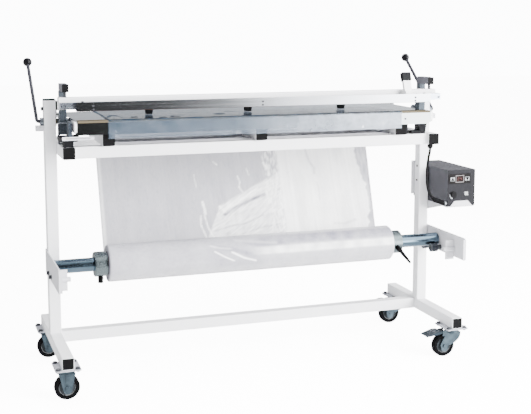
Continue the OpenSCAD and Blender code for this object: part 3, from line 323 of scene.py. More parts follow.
film_milky = film_material("film_milky", (0.004, 0.0, 0.045), (0.87, 0.87, 0.865), (0.95, 0.99),
                           rough=0.3, strength=0.3, streak=0.12)
film_clear = film_material("film_clear", (0.022, 0.046, 0.078), (0.46, 0.50, 0.57), (0.45, 0.80),
                           rough=0.16, vein=22, strength=0.35)
film_wound = film_material("film_wound", (0.004, 0.0, 0.055), (0.87, 0.87, 0.87), (1.0, 1.0),
                           rough=0.3, vein=11, strength=0.4, streak=1.0)

NODE_MATERIALS = {
    "feet": white, "uprights": white, "lower_crossbeam": white, "table_arms": white,
    "table_cross_tubes": white, "bed_tubes": white, "tube_caps": cap_black, "caster_mounts": zinc,
    "frame_bolts": bolt, "lower_jaw": lower_polished, "sealing_band": band_tan,
    "jaw_end_covers": pure_white, "jaw_supports": dark_paint, "white_brackets": white_painted_shade,
    "table_plate": steel_sheet, "film_tray": tray_grey, "column_guides": guide_grey,
    "film_brake": rubber, "film_guide_rod": chrome, "shaft_bushes": bronze,
    "roll_side_plates": white_painted_shade, "front_rollers": roller_dark, "rear_rollers": roller_dark,
    "control_case": case_grey, "control_panel": panel_grey, "display": frame_pale,
    "box_bracket": white_painted_shade, "box_electronics": board, "box_fittings": fitting_black,
    "sensor_lead": cable, "film_web": film_milky, "film_front": film_clear,
    "up_button": button_white, "down_button": button_white, "rocker_switch": button_white,
    "upper_beam": white, "jaw_rail": rail_blue, "upper_jaw": polished, "pressure_pad": pad_brown,
    "block_bars": block_side_painted_light, "lift_columns": blued, "jaw_screws": bolt,
    "cutter_carriage": pure_white, "cutter_cap": grip_black, "lever_shaft": shaft_steel,
    "lever_rods": rod_grey, "ball_knobs": knob_black, "roll_shaft": pipe, "roll_collars": collar,
    "film_roll": film_wound, "clamp_lever_left": lever_black, "clamp_lever_right": lever_black,
    "swivel_fork_front": zinc, "swivel_fork_rear": zinc, "wheel_front_left": tyre,
    "wheel_rear_left": tyre, "wheel_front_right": tyre, "wheel_rear_right": tyre,
    "brake_pedal_front": pedal_zinc, "brake_pedal_rear": pedal_zinc,
}
for name, obj in nodes.items():
    obj.data.materials.clear()
    obj.data.materials.append(NODE_MATERIALS[name])

# Second materials on some faces of the CAD nodes, chosen by the place of the face's middle and by
# its normal. A face looks along an axis where its normal's part along it is above FACING.
FACING = 0.5
SQUARE_ON = 0.9
FAR = math.inf
ANYWHERE = (-FAR, FAR)
FRONT_WAY = Vector((0, -1, 0))
LEFT_WAY = Vector((-1, 0, 0))
UP_WAY = Vector((0, 0, 1))
FOOT_SIDE = 740
PLATE_TOP = 112
SOCKET = (759, 588)
SOCKET_MIDDLE = 11
AXLE_HEIGHT = 42
RIM_RADIUS = 26.2
RING_RADIUS = 27.9
WHEEL_AXLES = {"wheel_front_left": -714, "wheel_rear_left": -714,
               "wheel_front_right": 679, "wheel_rear_right": 679}


def paint_faces(node, material, x=ANYWHERE, y=ANYWHERE, z=ANYWHERE, facing=None, also=None):
    """Gives a second material to the faces in these ranges that look the wanted way."""
    mesh = nodes[node].data
    mesh.materials.append(material)
    index = len(mesh.materials) - 1
    for face in mesh.polygons:
        place = (face.center - ZERO) * MM
        inside = all(low < part < high for part, (low, high) in zip(place, (x, y, z)))
        looks = facing is None or face.normal.dot(facing) > FACING
        if inside and looks and (also is None or also(place, face.normal)):
            face.material_index = index


def looks_sideways(place, normal):
    return abs(normal.z) < FACING


def looks_not_up(place, normal):
    return normal.z < FACING


def is_end_of_roller(place, normal):
    return abs(normal.x) > SQUARE_ON


def is_caster_plate(place, normal):
    """The plate itself: past the foot tube, looking up, or under the plate's top."""
    return abs(place.x) > FOOT_SIDE or normal.z > FACING or place.z < PLATE_TOP


def is_socket_rim(place, normal):
    """Outside the dark middle of the panel socket."""
    return math.hypot(place.x - SOCKET[0], place.z - SOCKET[1]) > SOCKET_MIDDLE


def round_axle(axle_x, inner, outer):
    """A test for faces between two radii round a wheel's axle."""
    def wanted(place, normal):
        return inner <= math.hypot(place.x - axle_x, place.z - AXLE_HEIGHT) < outer
    return wanted


# The block bars have dark fronts and stand on zinc studs; their lighter grey sides are painted
# light
paint_faces("block_bars", block_face, y=(-FAR, -112.5), z=(1000, FAR))
paint_faces("block_bars", bolt, y=(-105, -90), z=(-FAR, 1004), also=looks_sideways)
# The guides have straps at the front of their tops, painted lighter grey as a highlight along their
# top edge
paint_faces("column_guides", strap_painted_highlight, y=(-FAR, -46), z=(894, FAR))
# The bezel on the panel is black, and the display has a dark brown window in its pale frame
paint_faces("control_panel", window_black, y=(-FAR, -151.2), facing=FRONT_WAY)
paint_faces("display", window_brown, y=(-152, FAR))
# The bolts of the box bracket are black where they show inside the upright
paint_faces("frame_bolts", lever_black, x=(685, 694.5), z=(610, 700))
# The blocks on top of the left jaw support are lighter
paint_faces("jaw_supports", slate_paint, x=(-FAR, -660), z=(858, FAR))
paint_faces("caster_mounts", zinc_plate, z=(107.5, FAR), also=is_caster_plate)
paint_faces("front_rollers", roller_face, also=is_end_of_roller)
paint_faces("rear_rollers", roller_face, also=is_end_of_roller)
# The case's left faces are painted lighter than its front: painted light
paint_faces("control_case", case_side_painted_light, facing=LEFT_WAY)
# A painted highlight in silver on the lower left of the panel socket's rim, and bare metal on the
# plug's collar
paint_faces("box_fittings", silver_and_highlight, x=(742, 757), y=(-FAR, -150), z=(565, 590),
            also=is_socket_rim)
paint_faces("box_fittings", silver_and_highlight, x=(728, 739), z=(-FAR, 566))
# The cutter's blade is bare steel
paint_faces("cutter_carriage", silver_and_highlight, z=(-FAR, 972))
paint_faces("cutter_cap", grip_grey, facing=FRONT_WAY)
paint_faces("jaw_rail", polished, facing=UP_WAY)
paint_faces("table_plate", tray_grey, facing=-UP_WAY)
# The bracket's strap inside the upright is darker: painted shade
paint_faces("box_bracket", strap_painted_shade, x=(-FAR, 694), also=looks_not_up)
for name, axle_x in WHEEL_AXLES.items():
    paint_faces(name, rim, also=round_axle(axle_x, 0, RIM_RADIUS))
    paint_faces(name, rim_ring, also=round_axle(axle_x, RIM_RADIUS, RING_RADIUS))


# Pieces
def piece(name, vertices, faces, material, body, smooth=True):
    """A mesh of the scene's own, which rides on a body of the frame."""
    mesh = bpy.data.meshes.new(name)
    mesh.from_pydata([tuple(v) for v in vertices], [], faces)
    mesh.materials.append(material)
    for face in mesh.polygons:
        face.use_smooth = smooth
    mesh.update()
    obj = new_object(name, mesh)
    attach(obj, body)
    return obj


def grid_faces(columns, rows, closed=False):
    """Four-sided faces over rows of points; closed joins the last column to the first."""
    wide = columns if closed else columns - 1
    return [(r * columns + c, r * columns + (c + 1) % columns,
             (r + 1) * columns + (c + 1) % columns, (r + 1) * columns + c)
            for r in range(rows - 1) for c in range(wide)]


def store_haze_and_light(obj, values):
    layer = obj.data.attributes.new("haze_and_light", "FLOAT", "POINT")
    layer.data.foreach_set("value", values)


def wave(x, y, wide, high, seed):
    """Smooth noise in about -1 to 1, in waves so wide along x and so high along y."""
    return noise.noise(Vector((x / wide, y / high, seed)))


def ripples(x, y, waves):
    """The sum of waves, each given as its size, width, height and seed."""
    return sum(size * wave(x, y, wide, high, seed) for size, wide, high, seed in waves)


def clamp(value):
    return max(0.0, min(1.0, value))


def soft(value, low, high):
    """0 below low, 1 above high, smooth between them; high may be the smaller one."""
    f = clamp((value - low) / (high - low))
    return f * f * (3 - 2 * f)


CORE_OF_STREAK = 0.15


def streak(px, py, line, width):
    """1 on a line of points (x, y), fading to 0 at the width."""
    best = math.inf
    for (ax, ay), (bx, by) in zip(line, line[1:]):
        dx = bx - ax
        dy = by - ay
        f = clamp(((px - ax) * dx + (py - ay) * dy) / (dx * dx + dy * dy))
        best = min(best, math.hypot(px - ax - f * dx, py - ay - f * dy))
    return soft(best, width, width * CORE_OF_STREAK)


def streaks(x, y, creases):
    """The sum of creases, each given as its strength, width and points."""
    return sum(strength * streak(x, y, points, width) for strength, width, points in creases)


# The film's path in the side plane: the roll and the guide roller as (y, z, radius), the same as
# in the frame, with the film's middle a little off them
ROLL = (-80.0, 409.0, 64.5)
ROD = (197.0, 903.3, 9.5)
FILM_LIFT = 0.6
COLUMNS = 260
WEB_ROWS = 140
BEND_ROWS = 10
# The web touches the roll and the guide roller at the same angle, which is also where its
# plane faces
rod_distance = math.hypot(ROD[0] - ROLL[0], ROD[1] - ROLL[1])
touch_angle = (math.atan2(ROD[1] - ROLL[1], ROD[0] - ROLL[0])
               - math.acos((ROLL[2] - ROD[2]) / rod_distance))
web_normal = (math.cos(touch_angle), math.sin(touch_angle))


def round_point(centre, angle):
    """The (y, z) of the film where it lies round the roll or the guide roller."""
    radius = centre[2] + FILM_LIFT
    return (centre[0] + radius * math.cos(angle), centre[1] + radius * math.sin(angle))


web_foot = round_point(ROLL, touch_angle)
web_head = round_point(ROD, touch_angle)
web_rise = (web_head[0] - web_foot[0], web_head[1] - web_foot[1])
web_path = []
for i in range(WEB_ROWS + 1):
    t = i / WEB_ROWS
    web_path.append((web_foot[0] + web_rise[0] * t, web_foot[1] + web_rise[1] * t, t))
for i in range(1, BEND_ROWS + 1):
    angle = touch_angle + (math.pi / 2 - touch_angle) * i / BEND_ROWS
    web_path.append((*round_point(ROD, angle), 1.0))

# The web's two edges: the left one draws in toward the top, the right one spreads
WEB_LEFT = -541
LEFT_DRAW = 6
WEB_RIGHT = 512
RIGHT_SPREAD = 18
SPREAD_BY = 0.7

# The web's looks, with x in millimetres, t as the share of its height and s as millimetres up it
WEB_HEIGHT = 560
CLEAR_HAZE = 0.30
WHITE_HAZE_AND_REFLECTION = 0.90
LEAST_HAZE = 0.05
PATCH_LEFT = (-168, -140)
PATCH_KNEE = (-95, 0.345)
PATCH_STEEP = 0.0035
PATCH_SHALLOW = 0.00086
PATCH_FADE = 0.012
CRINKLE_WAY = (0.84, 0.54)
PATCH_HAZE = 0.24
PATCH_CRINKLE = 0.34
CRINKLE_MIDDLE = 0.5
SEAM_FROM = (84, 100)
SEAM_TO = (172, 150)
SEAM_HAZE = 0.45
SEAM_BROKEN = (-0.25, 0.3)
SEAM_LESS = 0.4
CREASES_LESS = 0.5
CREASE_ROUGH = 0.6
CREASE_ROUGHER = 0.8
WHITE_FROM = 152
WHITE_FADE = 7
HEM_HAZE = 0.32
HEM_WIDTH = 12
HEM_WIDER_HIGH = 34
HEM_WIDER_LOW = 14
HEM_WIDENS_UP = (0.34, 0.66)
HEM_WIDENS_DOWN = (0.30, 0.16)
HEM_FADE = 4
LEFT_BAND = 0.30
LEFT_LINE = 0.08
BAND_INSIDE = (18, 12)
BAND_OUTSIDE = (2, 5)
LINE_INSIDE = (5, 2)

# Waves as their size, width, height and seed
CRINKLES = ((0.9, 34, 6, 87),)
CLEAR_RIPPLES = ((0.020, 7, 2, 81), (0.012, 40, 1 / 2, 83))
WHITE_RIPPLES = ((0.12, 12, 3, 91), (0.10, 50, 1 / 3, 93))
HEM_RIPPLES = ((0.16, 9, 1 / 12, 99),)
HEM_RAGS = ((9, 1 / 26, 1, 95),)
WHITE_EDGE = ((10, 1 / 3, 1, 89),)
SEAM_GAPS = ((1, 7, 1 / 26, 97),)

# Painted glints and painted shade along creases, as their strength, width and (x, s) points
PAINTED_SHADE_ON_WHITE = (
    (0.30, 8, [(270, 410), (282, 345), (298, 322), (296, 300)]),
    (0.16, 6, [(300, 262), (306, 230), (303, 196)]),
    (0.20, 9, [(350, 100), (392, 96), (436, 108)]),
)
PAINTED_GLINTS = (
    (0.6, 8, [(-160, 211), (-156, 188), (-154, 166)]),
    (0.5, 5, [(-172, 160), (-176, 128), (-160, 78)]),
    (0.5, 5, [(-158, 160), (-150, 116), (-132, 74)]),
    (0.5, 9, [(-96, 190), (-76, 168)]),
    (0.45, 8, [(-84, 176), (-10, 214), (60, 250)]),
    (0.4, 5, [(-13, 303), (-6, 280), (-12, 262), (0, 242)]),
    (0.3, 4, [(-181, 315), (-177, 268)]),
    (0.45, 5, [(-100, 362), (-88, 350)]),
    (0.3, 4, [(26, 330), (32, 306)]),
    (0.4, 7, [(96, 350), (108, 330), (112, 300)]),
)
PAINTED_CREASE_SHADE = (
    (0.50, 10, [(-80, 160), (-20, 190), (40, 214), (84, 228)]),
    (0.28, 5, [(-126, 100), (-60, 116), (0, 122), (70, 150)]),
    (0.22, 5, [(-20, 84), (60, 104), (130, 112)]),
)


def creased_patch(x, t):
    """1 in the creased patch under a bent line, in the lower middle of the web."""
    from_knee = x - PATCH_KNEE[0]
    slope = PATCH_SHALLOW if from_knee > 0 else PATCH_STEEP
    line = PATCH_KNEE[1] + slope * from_knee
    return soft(x, *PATCH_LEFT) * soft(t, line + PATCH_FADE, line - PATCH_FADE)


def right_hem(x, t):
    """1 along the web's right edge, where it is clear again; narrowest a third of the way up."""
    margin = WEB_RIGHT + RIGHT_SPREAD * t - x
    width = (HEM_WIDTH + ripples(t, 0, HEM_RAGS)
             + HEM_WIDER_HIGH * soft(t, *HEM_WIDENS_UP)
             + HEM_WIDER_LOW * soft(t, *HEM_WIDENS_DOWN))
    return soft(margin, width + HEM_FADE, width - HEM_FADE)


def left_hem(x, t):
    """What a milkier band along the left edge adds, less a clearer line at the very edge."""
    from_left = x - WEB_LEFT - LEFT_DRAW * t
    return (LEFT_BAND * soft(from_left, *BAND_INSIDE) * soft(from_left, *BAND_OUTSIDE)
            - LEFT_LINE * soft(from_left, *LINE_INSIDE))


def web_haze_and_light(x, t):
    """How light the web is: clear and grey on the left and white on the right, partly its milkiness
    and partly a painted reflection of a dark left and a bright right, with painted glints and
    painted shade along its creases.
    """
    s = t * WEB_HEIGHT
    along = CRINKLE_WAY[0] * x + CRINKLE_WAY[1] * s
    aside = CRINKLE_WAY[0] * s - CRINKLE_WAY[1] * x
    crinkle = CRINKLE_MIDDLE + ripples(along, aside, CRINKLES)
    value = CLEAR_HAZE + ripples(x, t, CLEAR_RIPPLES)
    below = creased_patch(x, t)
    value += below * (PATCH_HAZE + PATCH_CRINKLE * crinkle)
    broken = soft(ripples(x, t, SEAM_GAPS), *SEAM_BROKEN)
    seam = soft(x, *SEAM_FROM) * soft(x, *SEAM_TO) * broken
    value += seam * SEAM_HAZE * (1 - SEAM_LESS * below)
    # The right part turns white: milkier film and a painted reflection of the bright right
    edge = WHITE_FROM + ripples(t, 0, WHITE_EDGE)
    right = soft(x, edge - WHITE_FADE, edge + WHITE_FADE)
    value += (WHITE_HAZE_AND_REFLECTION + ripples(x, t, WHITE_RIPPLES) - value) * right
    # Painted shade of the folds across the white part
    value -= right * streaks(x, s, PAINTED_SHADE_ON_WHITE)
    value += (HEM_HAZE + ripples(x, t, HEM_RIPPLES) - value) * right_hem(x, t)
    # Painted glints along the creases, weaker in the creased patch
    rough = CREASE_ROUGH + CREASE_ROUGHER * crinkle
    value += rough * (1 - CREASES_LESS * below) * streaks(x, s, PAINTED_GLINTS)
    # Painted shade along creases
    value -= streaks(x, s, PAINTED_CREASE_SHADE)
    value += left_hem(x, t)
    return min(1.0, max(LEAST_HAZE, value))


# The web's folds in millimetres. They are calm near the roll and the guide roller.
FOLD_HEIGHT = 500
CALM_LOW = 0.12
CALM_HIGH = 0.2
LONG_FOLDS = ((3.4, 95, 520, 3), (1.6, 38, 460, 11))
DIAGONAL_WAYS = (0.5, -0.6)
DIAGONAL_FOLDS = ((2.2, 60, 24, 17),)
DIAGONALS_END = 1.5
DIAGONALS_LEFT = -200
DIAGONALS_RIGHT = 190
LEFT_FADE = 100
RIGHT_FADE = 60
PUCKERS = ((0.6, 12, 60, 23),)
PUCKERS_ASIDE = 0.4


def web_fold(x, t):
    """How far the web stands out of its plane, in long folds, diagonal creases and puckers."""
    s = t * FOLD_HEIGHT
    calm = min(1, t / CALM_LOW) * min(1, (1 - t) / CALM_HIGH)
    middle = (clamp((x - DIAGONALS_LEFT) / LEFT_FADE)
              * clamp((DIAGONALS_RIGHT - x) / RIGHT_FADE))
    diagonal = ripples(x + DIAGONAL_WAYS[0] * s, s + DIAGONAL_WAYS[1] * x, DIAGONAL_FOLDS)
    lower = max(0, 1 - t * DIAGONALS_END)
    pucker = ripples(x, s, PUCKERS) * (PUCKERS_ASIDE + middle)
    return calm * (ripples(x, s, LONG_FOLDS) + diagonal * middle * lower + pucker)


vertices = []
haze_and_light = []
for y, z, t in web_path:
    left_x = WEB_LEFT + LEFT_DRAW * t
    right_x = WEB_RIGHT + RIGHT_SPREAD * min(1, t / SPREAD_BY)
    for c in range(COLUMNS):
        x = left_x + (right_x - left_x) * c / (COLUMNS - 1)
        push = web_fold(x, t)
        vertices.append(at(x, y + web_normal[0] * push, z + web_normal[1] * push))
        haze_and_light.append(web_haze_and_light(x, t))
web = piece("film_web_sheet", vertices, grid_faces(COLUMNS, len(web_path)), film_milky, "frame")
store_haze_and_light(web, haze_and_light)
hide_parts("film_web")

# Film over the table, over the front edge of the lower jaw, and its hanging end
TABLE_TOP = 913.4
FLAP_FRONT = -171.4
FLAT_RUN = 367.0
FLAT_ROWS = 92
EDGE_RADIUS = 1.4
EDGE_ROWS = 5
DROP = 61.0
DROP_ROWS = 24
FLAP_LEFT = -535
FLAP_SPREAD = 10
FLAP_SPREADS = (100, -160)
FLAP_RIGHT = 530
BED_BACK = 190
BED_FRONT = -108
BACK_CALM = 40
FRONT_CALM = 20
HILL_HEIGHT = 2.2
HILLS = ((1, 80, 60, 41), (0.4, 25, 30, 43))
SWING = 1.6
SWING_MIDDLE = 0.5
SWING_WAVES = ((1, 70, 60, 47),)
RAGGED_HEM = ((2.5, 60, 1, 53),)
MOTTLES = ((1, 45, 40, 57), (0.6, 14, 12, 59))
flat_path = [(ROD[0] - FLAT_RUN * i / FLAT_ROWS, TABLE_TOP, 0.0) for i in range(FLAT_ROWS + 1)]
for i in range(1, EDGE_ROWS + 1):
    angle = math.pi / 2 + math.pi / 2 * i / EDGE_ROWS
    flat_path.append((FLAP_FRONT + EDGE_RADIUS + EDGE_RADIUS * math.cos(angle),
                      TABLE_TOP - EDGE_RADIUS + EDGE_RADIUS * math.sin(angle), 0.0))
flat_path += [(FLAP_FRONT, TABLE_TOP - EDGE_RADIUS - DROP * i / DROP_ROWS, i / DROP_ROWS)
              for i in range(1, DROP_ROWS + 1)]

# Painted shade of the creases in the film over the table, as (x, y) points. The table is seen
# nearly edge-on, so its marks are drawn longer in y than they are wide.
TABLE_CREASE_SHADE = (
    [(-531, -65), (-507, -3), (-490, -15), (-481, -85)],
    [(-362, -125), (-338, -118)],
    [(-320, -116), (-304, -92), (-288, -112)],
    [(-452, -92), (-430, -80)],
    [(-150, -60), (-112, -52)],
)
TABLE_CREASE_WIDTH = 4.5
SEEN_FLAT = 8
EDGE_DARK = 0.85
CREASE_DARK = 0.8
DARKEST = 0.9
LEFT_EDGE = (11, 5)
LEFT_EDGE_ENDS = (0.05, 0.0)
FRONT_EDGE = (-130, -154)
FRONT_EDGE_ENDS = (0.06, 0.0)
FRONT_MIDDLE = 0.75
FRONT_WAVES = ((0.4, 55, 1, 105),)
FLAP_HAZE = 0.16
FLAP_WHITER = 0.54
WHITER_FROM = (-200, 520)
MOTTLE_LEFT = 0.08
MOTTLE_MORE = 0.10
MOTTLED_FROM = (-100, 300)


def flap_line(x, y, from_left, t):
    """How much painted shade of a dark crease there is: the left edge, the creases and the front
    edge.
    """
    line = EDGE_DARK * soft(from_left, *LEFT_EDGE) * soft(t, *LEFT_EDGE_ENDS)
    for points in TABLE_CREASE_SHADE:
        flattened = [(a, b / SEEN_FLAT) for a, b in points]
        crease = streak(x, y / SEEN_FLAT, flattened, TABLE_CREASE_WIDTH)
        line = max(line, CREASE_DARK * crease)
    wavy = FRONT_MIDDLE + ripples(x, 3, FRONT_WAVES)
    front = EDGE_DARK * soft(y, *FRONT_EDGE) * soft(t, *FRONT_EDGE_ENDS) * wavy
    return min(DARKEST, max(line, front))


def flap_haze_and_shade(x, y, z, from_left, t):
    """How milky the table film is, whiter to the right; below zero on its creases, which are
    painted shade.
    """
    uneven = MOTTLE_LEFT + MOTTLE_MORE * soft(x, *MOTTLED_FROM)
    value = (FLAP_HAZE + FLAP_WHITER * soft(x, *WHITER_FROM)
             + uneven * ripples(x, z + y, MOTTLES))
    line = flap_line(x, y, from_left, t)
    return max(0.0, value) * (1 - line) - line


def flap_lift(x, y):
    """How far the film stands off the table, between its back edge and the lower jaw."""
    calm = min(1, (BED_BACK - y) / BACK_CALM) * min(1, (y - BED_FRONT) / FRONT_CALM)
    return HILL_HEIGHT * max(0, calm) * max(0, ripples(x, y, HILLS))


vertices = []
haze_and_light = []
for y, z, t in flat_path:
    left_x = FLAP_LEFT - FLAP_SPREAD * soft(y, *FLAP_SPREADS)
    for c in range(COLUMNS):
        x = left_x + (FLAP_RIGHT - left_x) * c / (COLUMNS - 1)
        lift = flap_lift(x, y) if t == 0 and y > BED_FRONT else 0.0
        swing = SWING * t * (SWING_MIDDLE + ripples(x, z, SWING_WAVES))
        ragged = t * ripples(x, 0, RAGGED_HEM)
        vertices.append(at(x, y - swing, z + lift + ragged))
        haze_and_light.append(flap_haze_and_shade(x, y, z, x - left_x, t))
flap = piece("film_front_sheet", vertices, grid_faces(COLUMNS, len(flat_path)), film_clear, "frame")
store_haze_and_light(flap, haze_and_light)
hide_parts("film_front")

# The wound film: soft, slightly lumpy layers with nearly square ends, on a card core
ROLL_SIDES = 144
ROLL_MIDDLE = -10.0
ROLL_HALF = 534.0
ROLL_RADIUS = 64.4
ROLL_STEPS = 170
ROLL_RIM = 8
OUTER_LAYERS = 60
RING_OUTER = 62
END_RING_SHADE = 0.2
RING_DEPTH = 2
END_DEPTH = 1
END_TURN = 2
ROLL_HAZE = 0.41
UNDERSIDE_HAZE = 0.12
RIGHT_HAZE = 0.06
PAINTED_HIGHLIGHT_BAND = 0.48
PAINTED_SHADE_BAND = 0.20
UNDERSIDE = (-15, -50)
LIGHT_FROM = (0, 9)
LIGHT_TO = (33, 24)
DARK_FROM = (28, 40)
DARK_TO = (80, 66)
RIGHT_PART = (-60, 60)
LUMPS_INWARD = 0.35
LUMPS = ((0.5, 140, 1 / 1.2, 61),)
SIDE_LUMPS = ((0.35, 26, 1 / 3, 67),)
END_WAVES = ((0.4, 2.5, 1, 71),)
ROLL_RIPPLES = ((0.035, 60, 25, 73), (0.035, 12, 9, 75))
BAND_MIDDLE = 0.8
BAND_WAVES = ((0.5, 30, 40, 77),)
# The rounded rims, from the core outward and back, as (inset from the end, radius)
LEFT_RIM = ((0, 41.2), (0, 46.0), (0.4, 52.0), (0.2, 58.0), (0.8, 62.5), (3.0, 64.2))
RIGHT_RIM = ((2.4, 64.2), (0.6, 62.5), (0.1, 58.0), (0.3, 52.0), (0, 46.0), (0, 41.2))
body_length = 2 * (ROLL_HALF - ROLL_RIM)
profile = [(inset - ROLL_HALF, r) for inset, r in LEFT_RIM]
profile += [(ROLL_RIM - ROLL_HALF + body_length * i / ROLL_STEPS, ROLL_RADIUS)
            for i in range(ROLL_STEPS + 1)]
profile += [(ROLL_HALF - inset, r) for inset, r in RIGHT_RIM]

# Painted glints (above zero) and painted shade (below zero) along creases on the roll, as their
# strength, width and (x, degrees up from the front) points
ROLL_GLINTS_AND_SHADE = (
    (0.7, 4, [(-172, 24), (-138, 6), (-104, -9)]),
    (0.7, 5, [(-108, 18), (-66, -2), (-22, -14)]),
    (0.25, 6, [(-185, 44), (-150, 34), (-112, 30)]),
    (-0.10, 11, [(-160, 38), (-100, 26), (-40, 8)]),
    (-0.08, 12, [(-60, 50), (20, 30), (120, 24)]),
    (0.12, 8, [(-90, 60), (-20, 48), (60, 40)]),
)


def roll_lump(x, angle):
    """How far the outer layers stand out; at most places a little inward."""
    return (ripples(x, angle, LUMPS) + ripples(x, math.cos(angle), SIDE_LUMPS)
            - LUMPS_INWARD)


def roll_haze_and_light(x, front):
    """How light the roll is at x and some degrees up from its front: its milkiness, lighter toward
    the underside; on the right it has a painted highlight band with painted shade above it, and
    painted glints and shade along its creases."""
    value = (ROLL_HAZE + ripples(x, front, ROLL_RIPPLES)
             + UNDERSIDE_HAZE * soft(front, *UNDERSIDE))
    # A painted highlight band on the right, with painted shade above it
    band = (PAINTED_HIGHLIGHT_BAND * soft(front, *LIGHT_FROM) * soft(front, *LIGHT_TO)
            - PAINTED_SHADE_BAND * soft(front, *DARK_FROM) * soft(front, *DARK_TO))
    uneven = BAND_MIDDLE + ripples(x, front, BAND_WAVES)
    value += soft(x, *RIGHT_PART) * (RIGHT_HAZE + band * uneven)
    return value + streaks(x, front, ROLL_GLINTS_AND_SHADE)


def roll_point(x, radius, angle):
    return at(x, ROLL[0] + radius * math.cos(angle), ROLL[1] + radius * math.sin(angle))


vertices = []
haze_and_light = []
for along, r in profile:
    x = along + ROLL_MIDDLE
    at_end = abs(along) > ROLL_HALF - END_DEPTH
    # Inside the rim, the roll's ends are darker: painted shade
    ring = END_RING_SHADE if abs(along) > ROLL_HALF - RING_DEPTH and r < RING_OUTER else 0
    for k in range(ROLL_SIDES):
        angle = 2 * math.pi * k / ROLL_SIDES
        lump = roll_lump(x, angle) if r > OUTER_LAYERS else 0.0
        inset = 0.0
        if at_end:
            turned = math.cos(angle) * END_TURN + math.sin(angle)
            inset = abs(ripples(r, turned, END_WAVES))
        vertices.append(roll_point(x - math.copysign(inset, along), r + lump, angle))
        haze_and_light.append(max(LEAST_HAZE, roll_haze_and_light(x, 180 - math.degrees(angle)) - ring))
wound = piece("film_roll_layers", vertices, grid_faces(ROLL_SIDES, len(profile), closed=True),
              film_wound, "roll")
store_haze_and_light(wound, haze_and_light)
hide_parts("film_roll")

CORE_SIDES = 96
CORE_HALF = 534.2
CORE_INNER = 38.0
CORE_OUTER = 40.9
core_profile = [(-CORE_HALF, CORE_INNER), (-CORE_HALF, CORE_OUTER), (CORE_HALF, CORE_OUTER),
                (CORE_HALF, CORE_INNER), (-CORE_HALF, CORE_INNER)]
vertices = [roll_point(x + ROLL_MIDDLE, r, 2 * math.pi * k / CORE_SIDES)
            for x, r in core_profile for k in range(CORE_SIDES)]
core = piece("film_core", vertices, grid_faces(CORE_SIDES, len(core_profile), closed=True),
             core_card, "roll", False)


# Marks on the control box: arrow marks and two lit digits
def plate(name, outline, y, thick, material, body):
    """An (x, z) outline raised from the plane y toward the operator."""
    count = len(outline)
    vertices = [at(x, y, z) for x, z in outline] + [at(x, y - thick, z) for x, z in outline]
    faces = [tuple(range(count)), tuple(range(2 * count - 1, count - 1, -1))]
    faces += [(i, (i + 1) % count, count + (i + 1) % count, count + i) for i in range(count)]
    obj = piece(name, vertices, faces, material, body, False)
    bm = bmesh.new()
    bm.from_mesh(obj.data)
    bmesh.ops.recalc_face_normals(bm, faces=bm.faces)
    bm.to_mesh(obj.data)
    bm.free()
    return obj


glow = Finish("digit_red")
glow.shade(Base_Color=glow.mix(glow.remap(glow.noise(400), 0, 1), (0.05, 0.008, 0.006),
                               (0.06, 0.010, 0.007)),
           Roughness=0.4, Emission_Color=(1.0, 0.12, 0.06), Emission_Strength=0.05)

MARKS_HEIGHT = 649
BUTTON_FACE = -154.5
MARK_THICK = 0.25
ARROW_FOOT = (7.6, -6.0)
ARROW_TIP = (1.5, 6.2)
for name, x, up in (("up_mark", 755, 1), ("down_mark", 817, -1)):
    foot = MARKS_HEIGHT + up * ARROW_FOOT[1]
    tip = MARKS_HEIGHT + up * ARROW_TIP[1]
    arrow = [(x - ARROW_FOOT[0], foot), (x + ARROW_FOOT[0], foot),
             (x + ARROW_TIP[0], tip), (x - ARROW_TIP[0], tip)]
    plate(name, arrow, BUTTON_FACE, MARK_THICK, lever_black,
                  "up_button" if up > 0 else "down_button")

# Seven-segment strokes of the digits 2 and 4, as (x, z, lies flat) in a 5 by 9 mm cell
SEGMENTS = {"a": (0, 4.5, True), "b": (2.5, 2.25, False), "c": (2.5, -2.25, False),
            "d": (0, -4.5, True), "e": (-2.5, -2.25, False), "f": (-2.5, 2.25, False),
            "g": (0, 0, True)}
DIGITS = ((780.5, "abged"), (791.5, "fgbc"))
DIGIT_FACE = -151.05
DIGIT_THICK = 0.3
DIGIT_WIDER = 1.15
DIGIT_HIGHER = 1.2
STROKE_HALF = (1.8, 0.6)
for middle, digit in DIGITS:
    for key in digit:
        dx, dz, flat = SEGMENTS[key]
        w, h = STROKE_HALF if flat else reversed(STROKE_HALF)
        x = middle + dx * DIGIT_WIDER
        z = MARKS_HEIGHT + dz * DIGIT_HIGHER
        outline = [(x - w, z - h), (x + w, z - h), (x + w, z + h), (x - w, z + h)]
        plate("digit_%d_%s" % (middle, key), outline, DIGIT_FACE, DIGIT_THICK,
                      glow.material, "frame")

# Floor: pale, a hair below zero, and lit where the camera sees it, to be as white as the photo's
# ground
FLOOR_SIZE = 30
FLOOR_PLACE = (0, 2, -0.0002)
FLOOR_GLOW = 10.8
bpy.ops.mesh.primitive_plane_add(size=FLOOR_SIZE, location=FLOOR_PLACE)
floor = bpy.context.object
floor.name = "floor"
floor.visible_glossy = False
pale = surface("floor_pale", (0.9, 0.9, 0.9), 0.9, mottle=0.004, spec=0.05)
pale_nodes = Nodes(pale.node_tree)
seen = pale_nodes.add("ShaderNodeLightPath").outputs["Is Camera Ray"]
pale_nodes.feed_all(pale.node_tree.nodes["Principled BSDF"],
                    {"Emission Color": (1, 1, 1),
                     "Emission Strength": pale_nodes.math("MULTIPLY", seen, FLOOR_GLOW)})
floor.data.materials.append(pale)

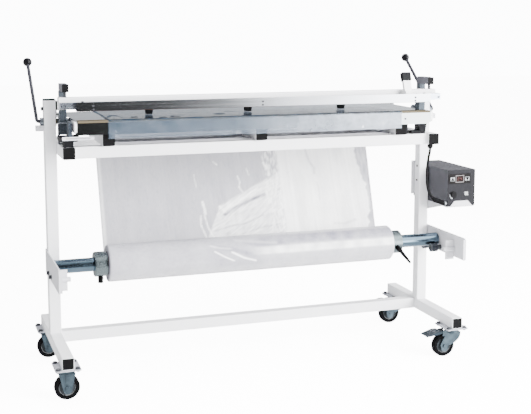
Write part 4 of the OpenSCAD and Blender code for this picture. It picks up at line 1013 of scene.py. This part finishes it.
# The studio: a white backdrop and even soft light. Metal mirrors a darker front left, a bright
# front right, a dim ceiling and the floor, by azimuth and elevation in degrees.
BACKDROP = 12.8
SOFT_LIGHT = 1.3
SKY_COLOR = (0.97, 0.985, 1)
ROUND_ABOUT = [(-180, 0.9), (-100, 1.2), (-40, 0.4), (6, 0.05), (13, 0.14), (17, 0.7),
               (21.5, 6.5), (27, 18.0), (60, 10.0), (120, 2.4), (180, 0.9)]
UPWARD = [(-20, 0.0), (-8, 1.0), (8, 1.0), (22, 0.35), (50, 0.5), (75, 0.12), (90, 0.1)]
FLOOR_SHINE = [(-28, 2.1), (-10, 0.0)]
world = bpy.data.worlds.new("studio")
bpy.context.scene.world = world
world.use_nodes = True
sky = Nodes(world.node_tree)
degrees = math.degrees(1)
direction = sky.add("ShaderNodeTexCoord").outputs["Generated"]
split = sky.add("ShaderNodeSeparateXYZ")
sky.feed(split.inputs[0], direction)
turned_y = sky.math("MULTIPLY", split.outputs["Y"], -1.0)
azimuth = sky.math("MULTIPLY", sky.math("ARCTAN2", split.outputs["X"], turned_y), degrees)
elevation = sky.math("MULTIPLY", sky.math("ARCSINE", split.outputs["Z"]), degrees)
walls = sky.math("MULTIPLY", sky.ramp(azimuth, ROUND_ABOUT), sky.ramp(elevation, UPWARD))
mirrored = sky.math("ADD", walls, sky.ramp(elevation, FLOOR_SHINE))
ray = sky.add("ShaderNodeLightPath").outputs
indirect = sky.mix(ray["Is Glossy Ray"], SOFT_LIGHT, mirrored, "FLOAT")
strength = sky.mix(ray["Is Camera Ray"], indirect, BACKDROP, "FLOAT")
sky.feed_all(world.node_tree.nodes["Background"], {"Color": SKY_COLOR, "Strength": strength})


def area(name, place, target, size, power):
    """A rectangular lamp that metal does not mirror, turned to its target."""
    data = bpy.data.lights.new(name, "AREA")
    data.shape = "RECTANGLE"
    data.size, data.size_y = size
    data.energy = power
    lamp = new_object(name, data)
    lamp.location = place
    lamp.visible_glossy = False
    lamp.rotation_euler = (Vector(target) - Vector(place)).to_track_quat("-Z", "Y").to_euler()


area("key", place=(2.9, -3.4, 2.0), target=(0, 0, 0.6), size=(3.2, 3.2), power=1200)
area("top", place=(0, -0.3, 3.3), target=(0, 0, 0.5), size=(4.0, 2.5), power=170)
